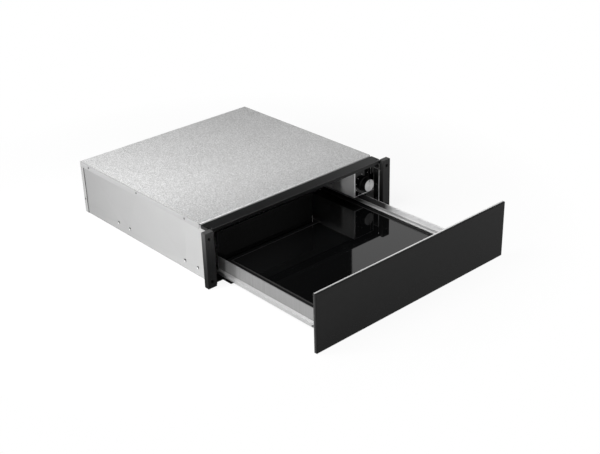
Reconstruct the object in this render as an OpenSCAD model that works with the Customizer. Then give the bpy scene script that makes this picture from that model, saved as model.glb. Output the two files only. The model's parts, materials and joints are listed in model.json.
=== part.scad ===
// Built-in warming drawer, standing with its drawer open.
// X runs to the right seen from the front, Y back into the cabinet, Z up.
// The origin is the middle of the casing's underside.
// Pieces are written from the cabinet's front plane, and from_front() moves them to the origin.
// Lengths are millimetres.

/* [Casing] */
// Room between a side of the tray and the outside of the casing
side_room = 37.5; // [36:0.5:42]
// Depth of the fan's bay, from the closed tray's back wall to the back of the rear plate
fan_bay_depth = 160.7; // [155:0.1:185]
// Height from the underside to the top face
casing_h = 142; // [141:0.5:150]
// Thickness of the casing's sheet
sheet_t = 1; // [0.8:0.1:1.2]
// Height of the flanges folded down at the top plate's sides
side_flange_h = 14; // [11:0.5:18]
// Width of the rear plate's flanges along the side walls
rear_flange_w = 14; // [11:0.5:18]
// Depth of the sloping front lip of the top plate
slope_depth = 6; // [4:0.5:8]
// Drop of that lip
slope_drop = 1.5; // [1:0.1:2]

/* [Front frame] */
// Width of a front post
post_w = 24; // [20:1:26]
// Depth of a post in front of the cabinet
post_d = 14; // [12:0.5:16]
// Distance of the posts' and the drawer front's upper edge below the casing's top face
frame_top_drop = 1; // [0.5:0.1:2]
// Height of the post's and the drawer front's lower edge over the underside
frame_bottom = 1; // [0.5:0.1:2]
// Depth of the top bar behind the cabinet's front plane
bar_depth = 30; // [26:1:34]
// Height of the bar's front lip
bar_lip_h = 8.5; // [7:0.5:11]
// Thickness of the front frame's sheet
frame_t = 1.2; // [1:0.1:1.5]

/* [Drawer front] */
// Width by which the drawer front stands out beyond the casing at each side
front_overhang = 24.5; // [22:0.5:25.5]
// Thickness of the drawer front
panel_t = 8; // [7:0.5:10]
// Thickness of its glass
front_glass_t = 4; // [3:0.5:4.5]

/* [Travel] */
// Length by which the drawer stands open
drawer_travel = 350; // [300:1:352]
// Gap between the closed front and the posts
closing_gap = 2.7; // [2:0.1:4]

/* [Tray] */
// Width over the tray's sides; the casing, the front and the glass base follow it
tray_w = 471; // [460:1:474]
// Depth from the front's back face to the tall back wall's rear face
tray_depth = 392; // [385:1:394]
// Height of the tray's sides
tray_h = 34; // [30:0.5:35]
// Sheet thickness of the sides and walls
tray_t = 1.2; // [1:0.1:1.5]
// Height of the tray floor's underside over the foot of the sides
floor_rise = 5; // [4:0.5:6]
// Height of the tall back wall over the foot of the sides
back_wall_h = 95; // [80:1:100]
// Place of the back wall's right end, from the middle
bay_x = 60; // [58:1:70]
// Depth of the bay that runs on behind the back wall
bay_depth = 145; // [130:1:150]

/* [Glass base] */
// Distance of the frame round the glass base from the outside of the tray's side
base_margin = 19.5; // [18.5:0.5:25]
// Width of the frame's top strip
base_strip_w = 8; // [6:0.5:10]
// Width of the seal beside the glass
base_seal_w = 5; // [4:0.5:6]
// Height of the frame over the tray floor
base_frame_h = 11.5; // [10:0.5:13]
// Thickness of the glass base
base_glass_t = 4; // [3:0.5:5]

/* [Slides] */
// Length of the drawer's rail
drawer_rail_len = 400; // [390:1:410]
// Length of the middle rail
middle_rail_len = 300; // [290:1:310]
// Length of the casing's rail
casing_rail_len = 448; // [440:1:455]
// Radius of a ball
ball_r = 1.2; // [1.1:0.05:1.25]
// Height of the casing's rail
casing_rail_h = 7; // [6.5:0.25:7.5]

/* [Controls] */
// Width of the control box
box_w = 71; // [66:1:74]
// Depth of the control box
box_depth = 171; // [150:1:180]
// Distance of its front behind the cabinet's front plane
box_front_y = 19; // [18.5:0.5:24]
// Radius of the knob at its foot
knob_foot_r = 20; // [18:0.5:21]
// Radius of the knob at its face
knob_face_r = 17; // [15:0.5:17.5]
// Length of the knob
knob_len = 17.9; // [15:0.1:18]
// Radius of the knob's spindle
spindle_r = 3; // [2.5:0.1:3.5]

/* [Fan and heater] */
// Length of the fan's housing
blower_len = 180; // [150:1:200]
// Radius of the fan's housing
scroll_r = 44; // [42:0.5:46]
// Radius of the fan wheel
rotor_r = 28; // [24:0.5:32]
// Number of blades
blade_count = 24; // [16:1:28]
// Radius of the fan's shaft
shaft_r = 2; // [1.5:0.1:2.5]
// Radius of the heater's tube
heater_r = 3.2; // [2.6:0.1:3.6]
// Height of the outlet
outlet_h = 24; // [22:0.5:26]

/* [Latch and inlet] */
// Radius of the latch's plunger
plunger_r = 4; // [3.4:0.1:4.5]
// Travel of the plunger
plunger_travel = 2.5; // [2:0.1:4]
// Radius of the cable inlet's bore
inlet_r = 4; // [3.5:0.1:4.5]
// Radius of the four fixing holes in the posts
fixing_r = 2.2; // [2:0.1:2.5]

/* [Hidden] */
$fn = 48;

// Overrun of every cut
cut = 1;
// Gap between fixed pieces that are slipped together
slip = 0.3;
// Gap between a fixed rod and its hole
rod_gap = 0.1;
// Gap between a turning or sliding rod and its bore
run_gap = 0.05;

// Widths that follow the tray's
casing_w = tray_w + 2 * side_room;
panel_w = casing_w + 2 * front_overhang;
base_frame_w = tray_w - 2 * base_margin;

// Heights that follow the casing's
post_h = casing_h - frame_top_drop - frame_bottom;
panel_h = post_h;

// Depths that follow the tray's
closed_wall_y = tray_depth - post_d - closing_gap;
casing_depth = closed_wall_y + fan_bay_depth;

// Planes and heights shared by the casing's pieces
half_w = casing_w / 2;
wall_x = half_w - sheet_t;
in_w = wall_x - sheet_t;
rear_in_y = casing_depth - sheet_t;
top_under = casing_h - sheet_t;
bar_top = casing_h - slope_drop;
bar_under = bar_top - frame_t;
plate_front_y = bar_depth + slip;
slope_end_y = plate_front_y + slope_depth;
frame_top = frame_bottom + post_h;

// Base pan
pan_lip_h = 10;
bead_h = 3;
bead_w = 16;
bead_half_len = 190;
bead_y_shares = [0.2, 0.66];

// Top plate and side walls
corner_notch = 3;
screw_y_shares = [0.17, 0.53, 0.925];
screw_drop = 6.25;
rear_screw_z = 38;
rear_screw_inset = 5.5;

// Vents in the rear plate
vent_count = 14;
vent_pitch = 10;
vent_w = 4;
vent_h = 50;
vent_x = -150;
vent_z = 34;

// Screws and rivets of the casing
screw_shank_r = 1.4;
screw_head_r = 2.6;
screw_head_h = 1.5;
screw_len = 5;
rivet_r = 1.6;
rivet_head_r = 3;
rivet_head_h = 1;
post_rivet_y = 9;
post_rivet_z_shares = [0.22, 0.5, 0.76];

// Top bar
bar_overhang = 4;
bar_end_h = 8;
bar_corner = 4;
bar_hem_h = 3;
bar_tab_h = 25;
bar_tab_y = 2;
bar_tab_depth = 16;
bar_dot_inset = 8;
bar_dot_y = 1;
bar_dot_r = 1.7;
bar_dot_proud = 0.5;

// Posts
post_wall = 1.6;
boss_r = 6.5;
fixing_end = 16;
fixing_head_r = 4.4;
fixing_head_depth = 2.6;
cheek_depth = 18;
cheek_bottom = 6;
cheek_gap = 3;
post_bevel = 3;

// Bottom front rail
rail_strip_h = 6;
rail_strip_depth = 31;
rail_strip_clear = 9;

// Drawer front and the planes that follow it
panel_back_y = -post_d - closing_gap - drawer_travel;
panel_front_y = panel_back_y - panel_t;
panel_half_w = panel_w / 2;
panel_top = frame_bottom + panel_h;
rim_t = 0.8;
glue_gap = 0.1;
frame_ledge_w = 6;

// Slides, from the casing's rail outwards
bracket_t = 1.6;
bracket_h = 29;
bracket_len = 65;
bracket_ys = [46, 323];
bracket_toe = 6;
lug_z = 21.5;
lug_inset = 8;
lug_w = 4.2;
lug_h = 5.8;
lug_proud = 0.3;
slot_w = 7;
slot_h = 8;
slide_inset = 4.5;
slide_x = tray_w / 2 - slide_inset;
casing_rail_half = 2.6;
casing_rail_y = 2;
ball_play = 0.1;
ball_gap = 2 * (ball_r + ball_play);
rail_gap = 1.6;
middle_t = 1;
middle_in = casing_rail_half + ball_gap;
middle_out = middle_in + middle_t;
middle_rail_h = 8.4;
drawer_rail_t = 1.2;
drawer_in = middle_out + ball_gap;
drawer_out = drawer_in + drawer_rail_t;
drawer_rail_h = 9.5;
casing_rail_z = sheet_t + bracket_t;
casing_rail_top = casing_rail_z + casing_rail_h;
middle_top = casing_rail_top + rail_gap + middle_t;
drawer_rail_top = middle_top + rail_gap + drawer_rail_t;
rail_front_gap = 6.7;
rail_overlap = 74;
drawer_rail_y = panel_back_y + rail_front_gap;
middle_rail_y = drawer_rail_y + drawer_rail_len - rail_overlap;
cage_t = 0.5;
cage_hole_play = 0.15;
outer_cage_len = 60;
inner_cage_len = 140;
outer_cage_y = -28;
inner_cage_y = 60;
outer_ball_count = 3;
inner_ball_count = 5;
rail_screw_y = 59;
rail_screw_r = 2.6;
rail_screw_h = 1.2;

// Tray
tray_half = tray_w / 2;
tray_in = tray_half - tray_t;
tray_foot = drawer_rail_top;
tray_top = tray_foot + tray_h;
foot_flange_w = 12;
hem_h = 4;
hem_w = 1.2;
wall_rear_y = panel_back_y + tray_depth;
wall_front_y = wall_rear_y - tray_t;
bay_rear_y = wall_rear_y + bay_depth;
front_flange_w = 14;
front_flange_rise = 9;
floor_t = 1;
floor_z = tray_foot + floor_rise;
floor_top = floor_z + floor_t;
floor_edge_w = 8.3;
floor_edge_rise = 7;
floor_hem_h = 7;
floor_lip_h = 9;
wall_hem_w = 3;
front_screw_zs = [13, 25];
front_screw_len = 3;

// Glass base
base_gap_front = 3;
base_gap_rear = 2;
base_half = base_frame_w / 2;
base_y0 = panel_back_y + base_gap_front;
base_y1 = wall_front_y - base_gap_rear;
base_y2 = bay_rear_y - tray_t - base_gap_front;
base_bay_x = bay_x + tray_t + base_gap_front;
base_wall_t = 1.2;
base_ledge_w = 5;
base_top = floor_top + base_frame_h;
base_ledge_top = base_top - base_glass_t;
base_seal_drop = 0.8;

// Control box, over the tray's top edge
box_clear = 2.5;
box_x = in_w - box_w;
box_z = tray_top + box_clear;
box_rear_y = box_front_y + box_depth;
box_top = casing_h - screw_drop - screw_head_r - slip;
box_louvre_count = 4;
box_louvre_len = 14;
box_louvre_h = 1.6;
box_louvre_pitch = 4;
box_louvre_y = 74;
box_louvre_z = 4;
fascia_t = 3;
fascia_gap = 0.2;
knob_inset = 36;
knob_rise = 28.5;
knob_x = box_x + knob_inset;
knob_z = box_z + knob_rise;
lens_w = 4.4;
lens_h = 26;
lens_offset = 21.8;
lens_drop = 6.85;
lens_x = knob_x + lens_offset;
lens_z = box_top - lens_drop - lens_h;
lens_flange = 1.5;
lens_proud = 0.3;
thermostat_w = 34;
thermostat_d = 26;
bushing_r = 5;
knob_gap = 0.6;
knob_foot_len = 4;
knob_bevel = 0.8;
cap_t = 1.2;
cap_r = knob_face_r - knob_bevel;
cap_mark_w = 1.2;
cap_mark_len = 5;
cap_mark_depth = 0.4;
spindle_len = 40;
spindle_flat = 1;
spindle_seat_len = 12;
terminal_t = 0.8;
terminal_w = 6.3;
terminal_len = 8;

// Fan housing behind the closed tray
blower_gap = 8.7;
blower_y = closed_wall_y + blower_gap;
outlet_len = 8;
blower_head = 5;
motor_len = 34;
motor_clear = 16;
blower_x1 = bay_x - motor_len - motor_clear;
blower_x0 = blower_x1 - blower_len;
rotor_y = blower_y + outlet_len + scroll_r;
outlet_top = top_under - blower_head;
outlet_z = outlet_top - outlet_h;
rotor_z = outlet_top - scroll_r;
leg_w = 52;
foot_w = 14;
rotor_end_gap = 5;
disc_t = 1.2;
blade_w = 8;
blade_t = 0.8;
blade_lean = 35;
hub_r = 6;
hub_len = 10;
shaft_end = 5;
bush_r = 6;
bush_len = 6;
motor_r = 21;
motor_plate = 48;
motor_plate_t = 2;
motor_screw_inset = 5;
motor_screw_r = 1.5;
heater_inset = 16;
heater_y = blower_y + heater_inset;
heater_pitch = 11;
heater_end = 12;
heater_pin_r = 1.2;
heater_pin_len = 6;
guard_t = 1;
guard_slot_w = 5;
guard_slot_pitch = 8;
guard_border = 4;
cutout_r = 7.5;
cutout_h = 6;

// Latch, in line with the tall wall's back
latch_w = 20;
latch_h = 40;
latch_depth = 46;
latch_inset = 22;
latch_x = bay_x - latch_inset;
latch_z = 30;
striker_t = 1.2;
striker_w = 16;
striker_h = 20;
latch_touch = 0.3;
plunger_tip_y = closed_wall_y + striker_t + latch_touch;
plunger_stays_out = 0.9;
plunger_out = plunger_travel + plunger_stays_out;
plunger_len = 26;
spring_room = 5;
latch_bore_len = plunger_len - plunger_out + plunger_travel + spring_room;

// Terminal block and cable inlet on the rear plate
block_w = 34;
block_h = 20;
block_d = 18;
block_inset = 54;
block_x = block_inset - half_w;
block_z = 50;
block_poles = 3;
block_well_r = 2.6;
block_well_depth = 8;
inlet_z = 24;
gland_flange_r = 10;
gland_flange_t = 4;
gland_neck_r = 7.5;
gland_nut_t = 4;

// Places a piece that is written from the cabinet's front plane
module from_front() {
    translate([0, -casing_depth / 2, 0])
        children();
}

// Box between two corners
module block(x0, x1, y0, y1, z0, z1) {
    translate([x0, y0, z0])
        cube([x1 - x0, y1 - y0, z1 - z0]);
}

// Round rod along X
module rod_x(x0, x1, y, z, r) {
    translate([x0, y, z])
        rotate([0, 90, 0])
            cylinder(r = r, h = x1 - x0);
}

// Round rod along Y
module rod_y(y0, y1, x, z, r) {
    translate([x, y1, z])
        rotate([90, 0, 0])
            cylinder(r = r, h = y1 - y0);
}

// Round rod along Z
module rod_z(z0, z1, x, y, r) {
    translate([x, y, z0])
        cylinder(r = r, h = z1 - z0);
}

// Outline of (y, z) points drawn out along X
module along_x(x0, x1) {
    translate([x0, 0, 0])
        rotate([90, 0, 90])
            linear_extrude(height = x1 - x0)
                children();
}

// Outline of (x, z) points drawn out along Y
module along_y(y0, y1) {
    translate([0, y1, 0])
        rotate([90, 0, 0])
            linear_extrude(height = y1 - y0)
                children();
}

// A piece and its mirror image on the other side
module both_sides() {
    children();
    mirror([1, 0, 0])
        children();
}

// Channel that is open below, along Y
module channel(x, half_out, wall, y0, y1, z0, z1) {
    difference() {
        block(x - half_out, x + half_out, y0, y1, z0, z1);
        block(x - half_out + wall, x + half_out - wall, y0 - cut, y1 + cut, z0 - cut, z1 - wall);
    }
}

// Casing

module base_pan() {
    color("gainsboro")
    from_front()
    difference() {
        union() {
            block(-in_w, in_w, 0, rear_in_y, 0, sheet_t);
            block(-in_w, in_w, rear_in_y - sheet_t, rear_in_y, 0, pan_lip_h);
            for (share = bead_y_shares)
                pan_bead(share * casing_depth, bead_half_len, bead_w, bead_h);
        }
        for (share = bead_y_shares)
            translate([0, 0, -sheet_t])
                pan_bead(share * casing_depth, bead_half_len - sheet_t, bead_w - sheet_t, bead_h);
    }
}

// Raised bead across the pan, with sloping flanks
module pan_bead(y, half_len, w, h) {
    along_x(-half_len, half_len)
        polygon([
            [y - w / 2, 0],
            [y + w / 2, 0],
            [y + w / 2 - h, h],
            [y - w / 2 + h, h]
        ]);
}

module top_plate() {
    color("lightgray")
    from_front()
    difference() {
        union() {
            along_x(-half_w, half_w)
                polygon([
                    [slope_end_y, top_under],
                    [rear_in_y, top_under],
                    [rear_in_y, casing_h],
                    [slope_end_y, casing_h]
                ]);
            along_x(-half_w + corner_notch, half_w - corner_notch)
                polygon([
                    [plate_front_y, bar_top - sheet_t],
                    [slope_end_y, top_under],
                    [slope_end_y, casing_h],
                    [plate_front_y, bar_top]
                ]);
            both_sides()
                block(-half_w, -wall_x, slope_end_y, rear_in_y, casing_h - side_flange_h, casing_h);
        }
        both_sides() {
            for (share = screw_y_shares)
                rod_x(-half_w - cut, -wall_x + cut, share * casing_depth, casing_h - screw_drop,
                    screw_shank_r + rod_gap);
            block(-half_w - cut, -wall_x + cut, slope_end_y - cut, slope_end_y + corner_notch,
                casing_h - side_flange_h - cut, casing_h - side_flange_h + corner_notch);
        }
    }
}

// Left side wall; its mirror image is the right one
module side_wall() {
    bar_notch_z = bar_top - bar_end_h - slip;
    slope_notch_z = bar_top - sheet_t - slip;
    difference() {
        block(-wall_x, -in_w, 0, rear_in_y, 0, top_under);
        block(-wall_x - cut, cut - in_w, -cut, plate_front_y, bar_notch_z, casing_h);
        block(-wall_x - cut, cut - in_w, -cut, slope_end_y + slip, slope_notch_z, casing_h);
        for (y = bracket_ys, end = [lug_inset, bracket_len - lug_inset])
            translate([0, y + end, lug_z])
                block(-wall_x - cut, -in_w + cut, -slot_w / 2, slot_w / 2, -slot_h / 2, slot_h / 2);
        for (share = screw_y_shares)
            rod_x(-wall_x - cut, -in_w + cut, share * casing_depth, casing_h - screw_drop,
                screw_shank_r + rod_gap);
        rod_x(-wall_x - cut, -in_w + cut, casing_depth - rear_screw_inset, rear_screw_z,
            screw_shank_r + rod_gap);
        for (share = post_rivet_z_shares)
            rod_x(-wall_x - cut, -in_w + cut, post_rivet_y, share * post_h, rivet_r + rod_gap);
    }
}

module left_side_wall() {
    color("silver")
    from_front()
        side_wall();
}

module right_side_wall() {
    color("silver")
    from_front()
    mirror([1, 0, 0])
        side_wall();
}

module rear_plate() {
    color("lightgray")
    from_front()
    difference() {
        union() {
            block(-half_w, half_w, rear_in_y, casing_depth, 0, casing_h);
            both_sides()
                block(-half_w, -wall_x, casing_depth - rear_flange_w, casing_depth,
                    0, casing_h - side_flange_h - slip);
        }
        both_sides()
            rod_x(-half_w - cut, -wall_x + cut, casing_depth - rear_screw_inset, rear_screw_z,
                screw_shank_r + rod_gap);
        rod_y(rear_in_y - cut, casing_depth + cut, block_x, inlet_z, gland_neck_r + rod_gap);
        for (i = [0 : vent_count - 1])
            translate([vent_x + i * vent_pitch, 0, vent_z])
                block(0, vent_w, rear_in_y - cut, casing_depth + cut, 0, vent_h);
    }
}

// Screw along X through a side flange, on the left
module side_screw(y, z) {
    rod_x(-half_w - screw_head_h, -half_w, y, z, screw_head_r);
    rod_x(-half_w, -half_w + screw_len, y, z, screw_shank_r);
}

module casing_screws() {
    color("dimgray")
    from_front()
    both_sides() {
        for (share = screw_y_shares)
            side_screw(share * casing_depth, casing_h - screw_drop);
        side_screw(casing_depth - rear_screw_inset, rear_screw_z);
    }
}

// Front frame

module front_top_bar() {
    inner = in_w - frame_t - slip;
    color("darkslategray")
    from_front()
    difference() {
        union() {
            translate([0, 0, bar_under])
                linear_extrude(height = frame_t)
                    polygon([
                        [-half_w, bar_depth],
                        [-half_w, bar_corner],
                        [-inner, 0],
                        [-inner, -bar_overhang],
                        [inner, -bar_overhang],
                        [inner, 0],
                        [half_w, bar_corner],
                        [half_w, bar_depth]
                    ]);
            block(-inner, inner, -bar_overhang, frame_t - bar_overhang, bar_top - bar_lip_h, bar_top);
            block(-inner, inner, bar_depth - frame_t, bar_depth, bar_under - bar_hem_h, bar_top);
            both_sides() {
                block(-half_w, frame_t - half_w, bar_corner, bar_depth, bar_top - bar_end_h, bar_top);
                block(-in_w, frame_t - in_w, bar_tab_y, bar_tab_y + bar_tab_depth,
                    bar_top - bar_tab_h, bar_top);
            }
        }
        both_sides()
            rod_z(bar_under - cut, bar_top + cut, bar_dot_inset - half_w, bar_dot_y, bar_dot_r);
    }
}

module bar_screws() {
    color("black")
    from_front()
    both_sides()
        translate([bar_dot_inset - half_w, bar_dot_y, 0]) {
            rod_z(bar_under - frame_t, bar_top, 0, 0, bar_dot_r - rod_gap);
            rod_z(bar_top, bar_top + bar_dot_proud, 0, 0, bar_dot_r + rod_gap);
        }
}

// Left post; its mirror image is the right one
module front_post() {
    outer = in_w + post_w;
    middle = in_w + post_w / 2;
    fixing_zs = [frame_bottom + fixing_end, frame_top - fixing_end];
    difference() {
        union() {
            difference() {
                block(-outer, -in_w, -post_d, 0, frame_bottom, frame_top);
                block(post_wall - outer, -in_w - post_wall, post_wall - post_d, cut,
                    frame_bottom + post_wall, frame_top - post_wall);
            }
            for (z = fixing_zs)
                rod_y(post_wall / 2 - post_d, 0, -middle, z, boss_r);
            block(-in_w, frame_t - in_w, -post_d, cheek_depth,
                cheek_bottom, bar_top - bar_tab_h - cheek_gap);
        }
        for (z = fixing_zs) {
            rod_y(-post_d - cut, cut, -middle, z, fixing_r);
            rod_y(-post_d - cut, fixing_head_depth - post_d, -middle, z, fixing_head_r);
        }
        for (share = post_rivet_z_shares)
            rod_x(-in_w - cut, frame_t - in_w + cut, post_rivet_y, share * post_h, rivet_r + rod_gap);
        translate([0, 0, frame_bottom])
            along_x(-outer - cut, -in_w)
                polygon([[cut, -cut], [cut, post_bevel], [-post_bevel, -cut]]);
    }
}

module left_front_post() {
    color("black")
    from_front()
        front_post();
}

module right_front_post() {
    color("black")
    from_front()
    mirror([1, 0, 0])
        front_post();
}

module post_rivets() {
    color("gray")
    from_front()
    both_sides()
        for (share = post_rivet_z_shares)
            translate([0, post_rivet_y, share * post_h]) {
                rod_x(-wall_x - rivet_head_h, -wall_x, 0, 0, rivet_head_r);
                rod_x(-wall_x, frame_t - in_w, 0, 0, rivet_r);
                rod_x(frame_t - in_w, frame_t - in_w + rivet_head_h, 0, 0, rivet_head_r);
            }
}

module bottom_front_rail() {
    raised = slide_x - drawer_out - rail_strip_clear;
    top = sheet_t + rail_strip_h;
    color("black")
    from_front()
    union() {
        block(-in_w, in_w, 0, rail_strip_depth, sheet_t, sheet_t + frame_t);
        difference() {
            block(-raised, raised, 0, rail_strip_depth, sheet_t, top);
            block(frame_t - raised, raised - frame_t, frame_t, rail_strip_depth - frame_t,
                sheet_t + frame_t, top - frame_t);
        }
    }
}

// Slides

// Two left brackets with hooked lugs in the side wall's slots
module rail_brackets() {
    for (y = bracket_ys) {
        block(-in_w, bracket_toe - slide_x, y, y + bracket_len, sheet_t, sheet_t + bracket_t);
        block(-in_w, bracket_t - in_w, y, y + bracket_len, sheet_t, sheet_t + bracket_h);
        for (end = [lug_inset, bracket_len - lug_inset])
            translate([0, y + end + slot_w / 2 - rod_gap, lug_z - slot_h / 2 + rod_gap])
                block(-wall_x - lug_proud, -in_w, -lug_w, 0, 0, lug_h);
    }
}

module left_rail_brackets() {
    color("lightsteelblue")
    from_front()
        rail_brackets();
}

module right_rail_brackets() {
    color("lightsteelblue")
    from_front()
    mirror([1, 0, 0])
        rail_brackets();
}

// Casing's rail on one side
module casing_rail(x) {
    block(x - casing_rail_half, x + casing_rail_half, casing_rail_y, casing_rail_y + casing_rail_len,
        casing_rail_z, casing_rail_top);
}

module left_casing_rail() {
    color("silver")
    from_front()
        casing_rail(-slide_x);
}

module right_casing_rail() {
    color("silver")
    from_front()
        casing_rail(slide_x);
}

module middle_rail(x) {
    channel(x, middle_out, middle_t, middle_rail_y, middle_rail_y + middle_rail_len,
        middle_top - middle_rail_h, middle_top);
}

module left_middle_rail() {
    color("dimgray")
    from_front()
        middle_rail(-slide_x);
}

module right_middle_rail() {
    color("dimgray")
    from_front()
        middle_rail(slide_x);
}

module drawer_rail(x) {
    channel(x, drawer_out, drawer_rail_t, drawer_rail_y, drawer_rail_y + drawer_rail_len,
        drawer_rail_top - drawer_rail_h, drawer_rail_top);
}

module left_drawer_rail() {
    color("lightgray")
    from_front()
        drawer_rail(-slide_x);
}

module right_drawer_rail() {
    color("lightgray")
    from_front()
        drawer_rail(slide_x);
}

// Place of a ball along its cage
function ball_y(i, count, y, len) = y + (i + 0.5) * len / count;

// Cage of one slide, bent over the rail inside it, with a hole for every ball
module ball_cage(x, reach, y, len, z0, z1, count) {
    half = reach + cage_t / 2;
    difference() {
        channel(x, half, cage_t, y, y + len, z0, z1);
        for (i = [0 : count - 1])
            rod_x(x - half - cut, x + half + cut, ball_y(i, count, y, len), (z0 + z1) / 2,
                ball_r + cage_hole_play);
    }
}

// Balls of one slide, on both its flanks
module ball_rows(x, reach, y, len, z, count) {
    for (i = [0 : count - 1], side = [-1, 1])
        translate([x + side * reach, ball_y(i, count, y, len), z])
            sphere(r = ball_r);
}

inner_reach = (casing_rail_half + middle_in) / 2;
inner_cage_top = casing_rail_top + (rail_gap + cage_t) / 2;
inner_cage_foot = middle_top - middle_rail_h + rail_gap / 2;
outer_reach = (middle_out + drawer_in) / 2;
outer_cage_top = middle_top + (rail_gap + cage_t) / 2;
outer_cage_foot = drawer_rail_top - drawer_rail_h + rail_gap / 2;

module inner_ball_cages() {
    color("gray")
    from_front()
    both_sides()
        ball_cage(-slide_x, inner_reach, inner_cage_y, inner_cage_len,
            inner_cage_foot, inner_cage_top, inner_ball_count);
}

module inner_balls() {
    color("silver")
    from_front()
    both_sides()
        ball_rows(-slide_x, inner_reach, inner_cage_y, inner_cage_len,
            (inner_cage_foot + inner_cage_top) / 2, inner_ball_count);
}

module outer_ball_cages() {
    color("gray")
    from_front()
    both_sides()
        ball_cage(-slide_x, outer_reach, outer_cage_y, outer_cage_len,
            outer_cage_foot, outer_cage_top, outer_ball_count);
}

module outer_balls() {
    color("silver")
    from_front()
    both_sides()
        ball_rows(-slide_x, outer_reach, outer_cage_y, outer_cage_len,
            (outer_cage_foot + outer_cage_top) / 2, outer_ball_count);
}

module rail_screws() {
    z = drawer_rail_top - drawer_rail_h / 2;
    color("silver")
    from_front()
    both_sides()
        rod_x(-slide_x - drawer_out - rail_screw_h, -slide_x - drawer_out,
            drawer_rail_y + rail_screw_y, z, rail_screw_r);
}

// Controls

module control_box() {
    color("lightgray")
    from_front()
    difference() {
        block(box_x, in_w, box_front_y, box_rear_y, box_z, box_top);
        block(box_x + sheet_t, in_w - sheet_t, box_front_y - cut, box_rear_y - sheet_t,
            box_z + sheet_t, box_top - sheet_t);
        for (i = [0 : box_louvre_count - 1])
            translate([box_x, box_front_y + box_louvre_y, box_z + box_louvre_z + i * box_louvre_pitch])
                block(-cut, sheet_t + cut, 0, box_louvre_len, 0, box_louvre_h);
    }
}

module control_fascia() {
    edge = sheet_t + fascia_gap;
    color("black")
    from_front()
    difference() {
        block(box_x + edge, in_w - edge, box_front_y, box_front_y + fascia_t, box_z + edge, box_top - edge);
        rod_y(box_front_y - cut, box_front_y + fascia_t + cut, knob_x, knob_z, bushing_r + rod_gap);
        translate([lens_x, 0, lens_z])
            block(-rod_gap, lens_w + rod_gap, box_front_y - cut, box_front_y + fascia_t + cut,
                -rod_gap, lens_h + rod_gap);
    }
}

module indicator_lens() {
    rear = box_front_y + fascia_t;
    color("lightyellow")
    from_front()
    translate([lens_x, 0, lens_z]) {
        block(0, lens_w, box_front_y - lens_proud, rear, 0, lens_h);
        block(-lens_flange, lens_w + lens_flange, rear, rear + lens_flange,
            -lens_flange, lens_h + lens_flange);
    }
}

module thermostat() {
    front = box_front_y + fascia_t;
    rear = front + thermostat_d;
    color("beige")
    from_front()
    translate([knob_x, 0, knob_z]) {
        difference() {
            union() {
                block(-thermostat_w / 2, thermostat_w / 2, front, rear, -thermostat_w / 2, thermostat_w / 2);
                rod_y(box_front_y, front + cut, 0, 0, bushing_r);
            }
            rod_y(box_front_y - cut, box_front_y + spindle_len - knob_gap - spindle_seat_len, 0, 0,
                spindle_r + run_gap);
        }
        for (z = [-thermostat_w / 4, thermostat_w / 4])
            block(-terminal_w / 2, terminal_w / 2, rear, rear + terminal_len, z, z + terminal_t);
    }
}

// Knob's outline turned about the spindle, with a seat for the cap and a bore
module knob() {
    color("black")
    from_front()
    translate([knob_x, box_front_y - knob_gap, knob_z])
        rotate([90, 0, 0])
            rotate_extrude($fn = 96)
                polygon([
                    [spindle_r, 0],
                    [knob_foot_r - knob_bevel, 0],
                    [knob_foot_r, knob_bevel],
                    [knob_foot_r, knob_foot_len - knob_bevel],
                    [knob_foot_r - knob_bevel, knob_foot_len],
                    [knob_face_r + knob_bevel, knob_foot_len],
                    [knob_face_r, knob_len - knob_bevel],
                    [cap_r + run_gap, knob_len],
                    [cap_r + run_gap, knob_len - cap_t],
                    [0, knob_len - cap_t],
                    [0, spindle_seat_len],
                    [spindle_r, spindle_seat_len]
                ]);
}

module knob_cap() {
    face = knob_len;
    color("gainsboro")
    from_front()
    translate([knob_x, box_front_y - knob_gap, knob_z])
        rotate([90, 0, 0])
            difference() {
                rotate_extrude($fn = 96)
                    polygon([
                        [0, face - cap_t],
                        [cap_r, face - cap_t],
                        [cap_r, face - cap_mark_depth],
                        [cap_r - cap_mark_depth, face],
                        [0, face]
                    ]);
                translate([0, cap_r - cap_mark_w, face])
                    block(-cap_mark_w / 2, cap_mark_w / 2, -cap_mark_len, 0, -cap_mark_depth, cut);
            }
}

module knob_spindle() {
    seat = box_front_y - knob_gap;
    front = seat - spindle_seat_len;
    color("silver")
    from_front()
    difference() {
        rod_y(front, front + spindle_len - cut, knob_x, knob_z, spindle_r);
        translate([knob_x, 0, knob_z + spindle_r - spindle_flat])
            block(-spindle_r, spindle_r, front - cut, seat - cut, 0, spindle_r);
    }
}

// Fan and heater

// Outline of the fan's housing in the (y, z) plane, drawn in by some distance
module scroll_outline(inset) {
    translate([rotor_y, rotor_z])
        circle(r = scroll_r - inset, $fn = 96);
    polygon([
        [blower_y - (inset > 0 ? cut : 0), outlet_z + inset],
        [rotor_y - outlet_len, outlet_z + inset],
        [rotor_y, outlet_top - inset],
        [blower_y - (inset > 0 ? cut : 0), outlet_top - inset]
    ]);
}

// End plate with a leg and a foot on the pan
module blower_end(x, foot_x) {
    along_x(x, x + sheet_t) {
        scroll_outline(0);
        polygon([
            [rotor_y - leg_w / 2, sheet_t],
            [rotor_y + leg_w / 2, sheet_t],
            [rotor_y + leg_w / 2, rotor_z],
            [rotor_y - leg_w / 2, rotor_z]
        ]);
    }
    block(foot_x, foot_x + foot_w, rotor_y - leg_w / 2, rotor_y + leg_w / 2, sheet_t, sheet_t + sheet_t);
}

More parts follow.
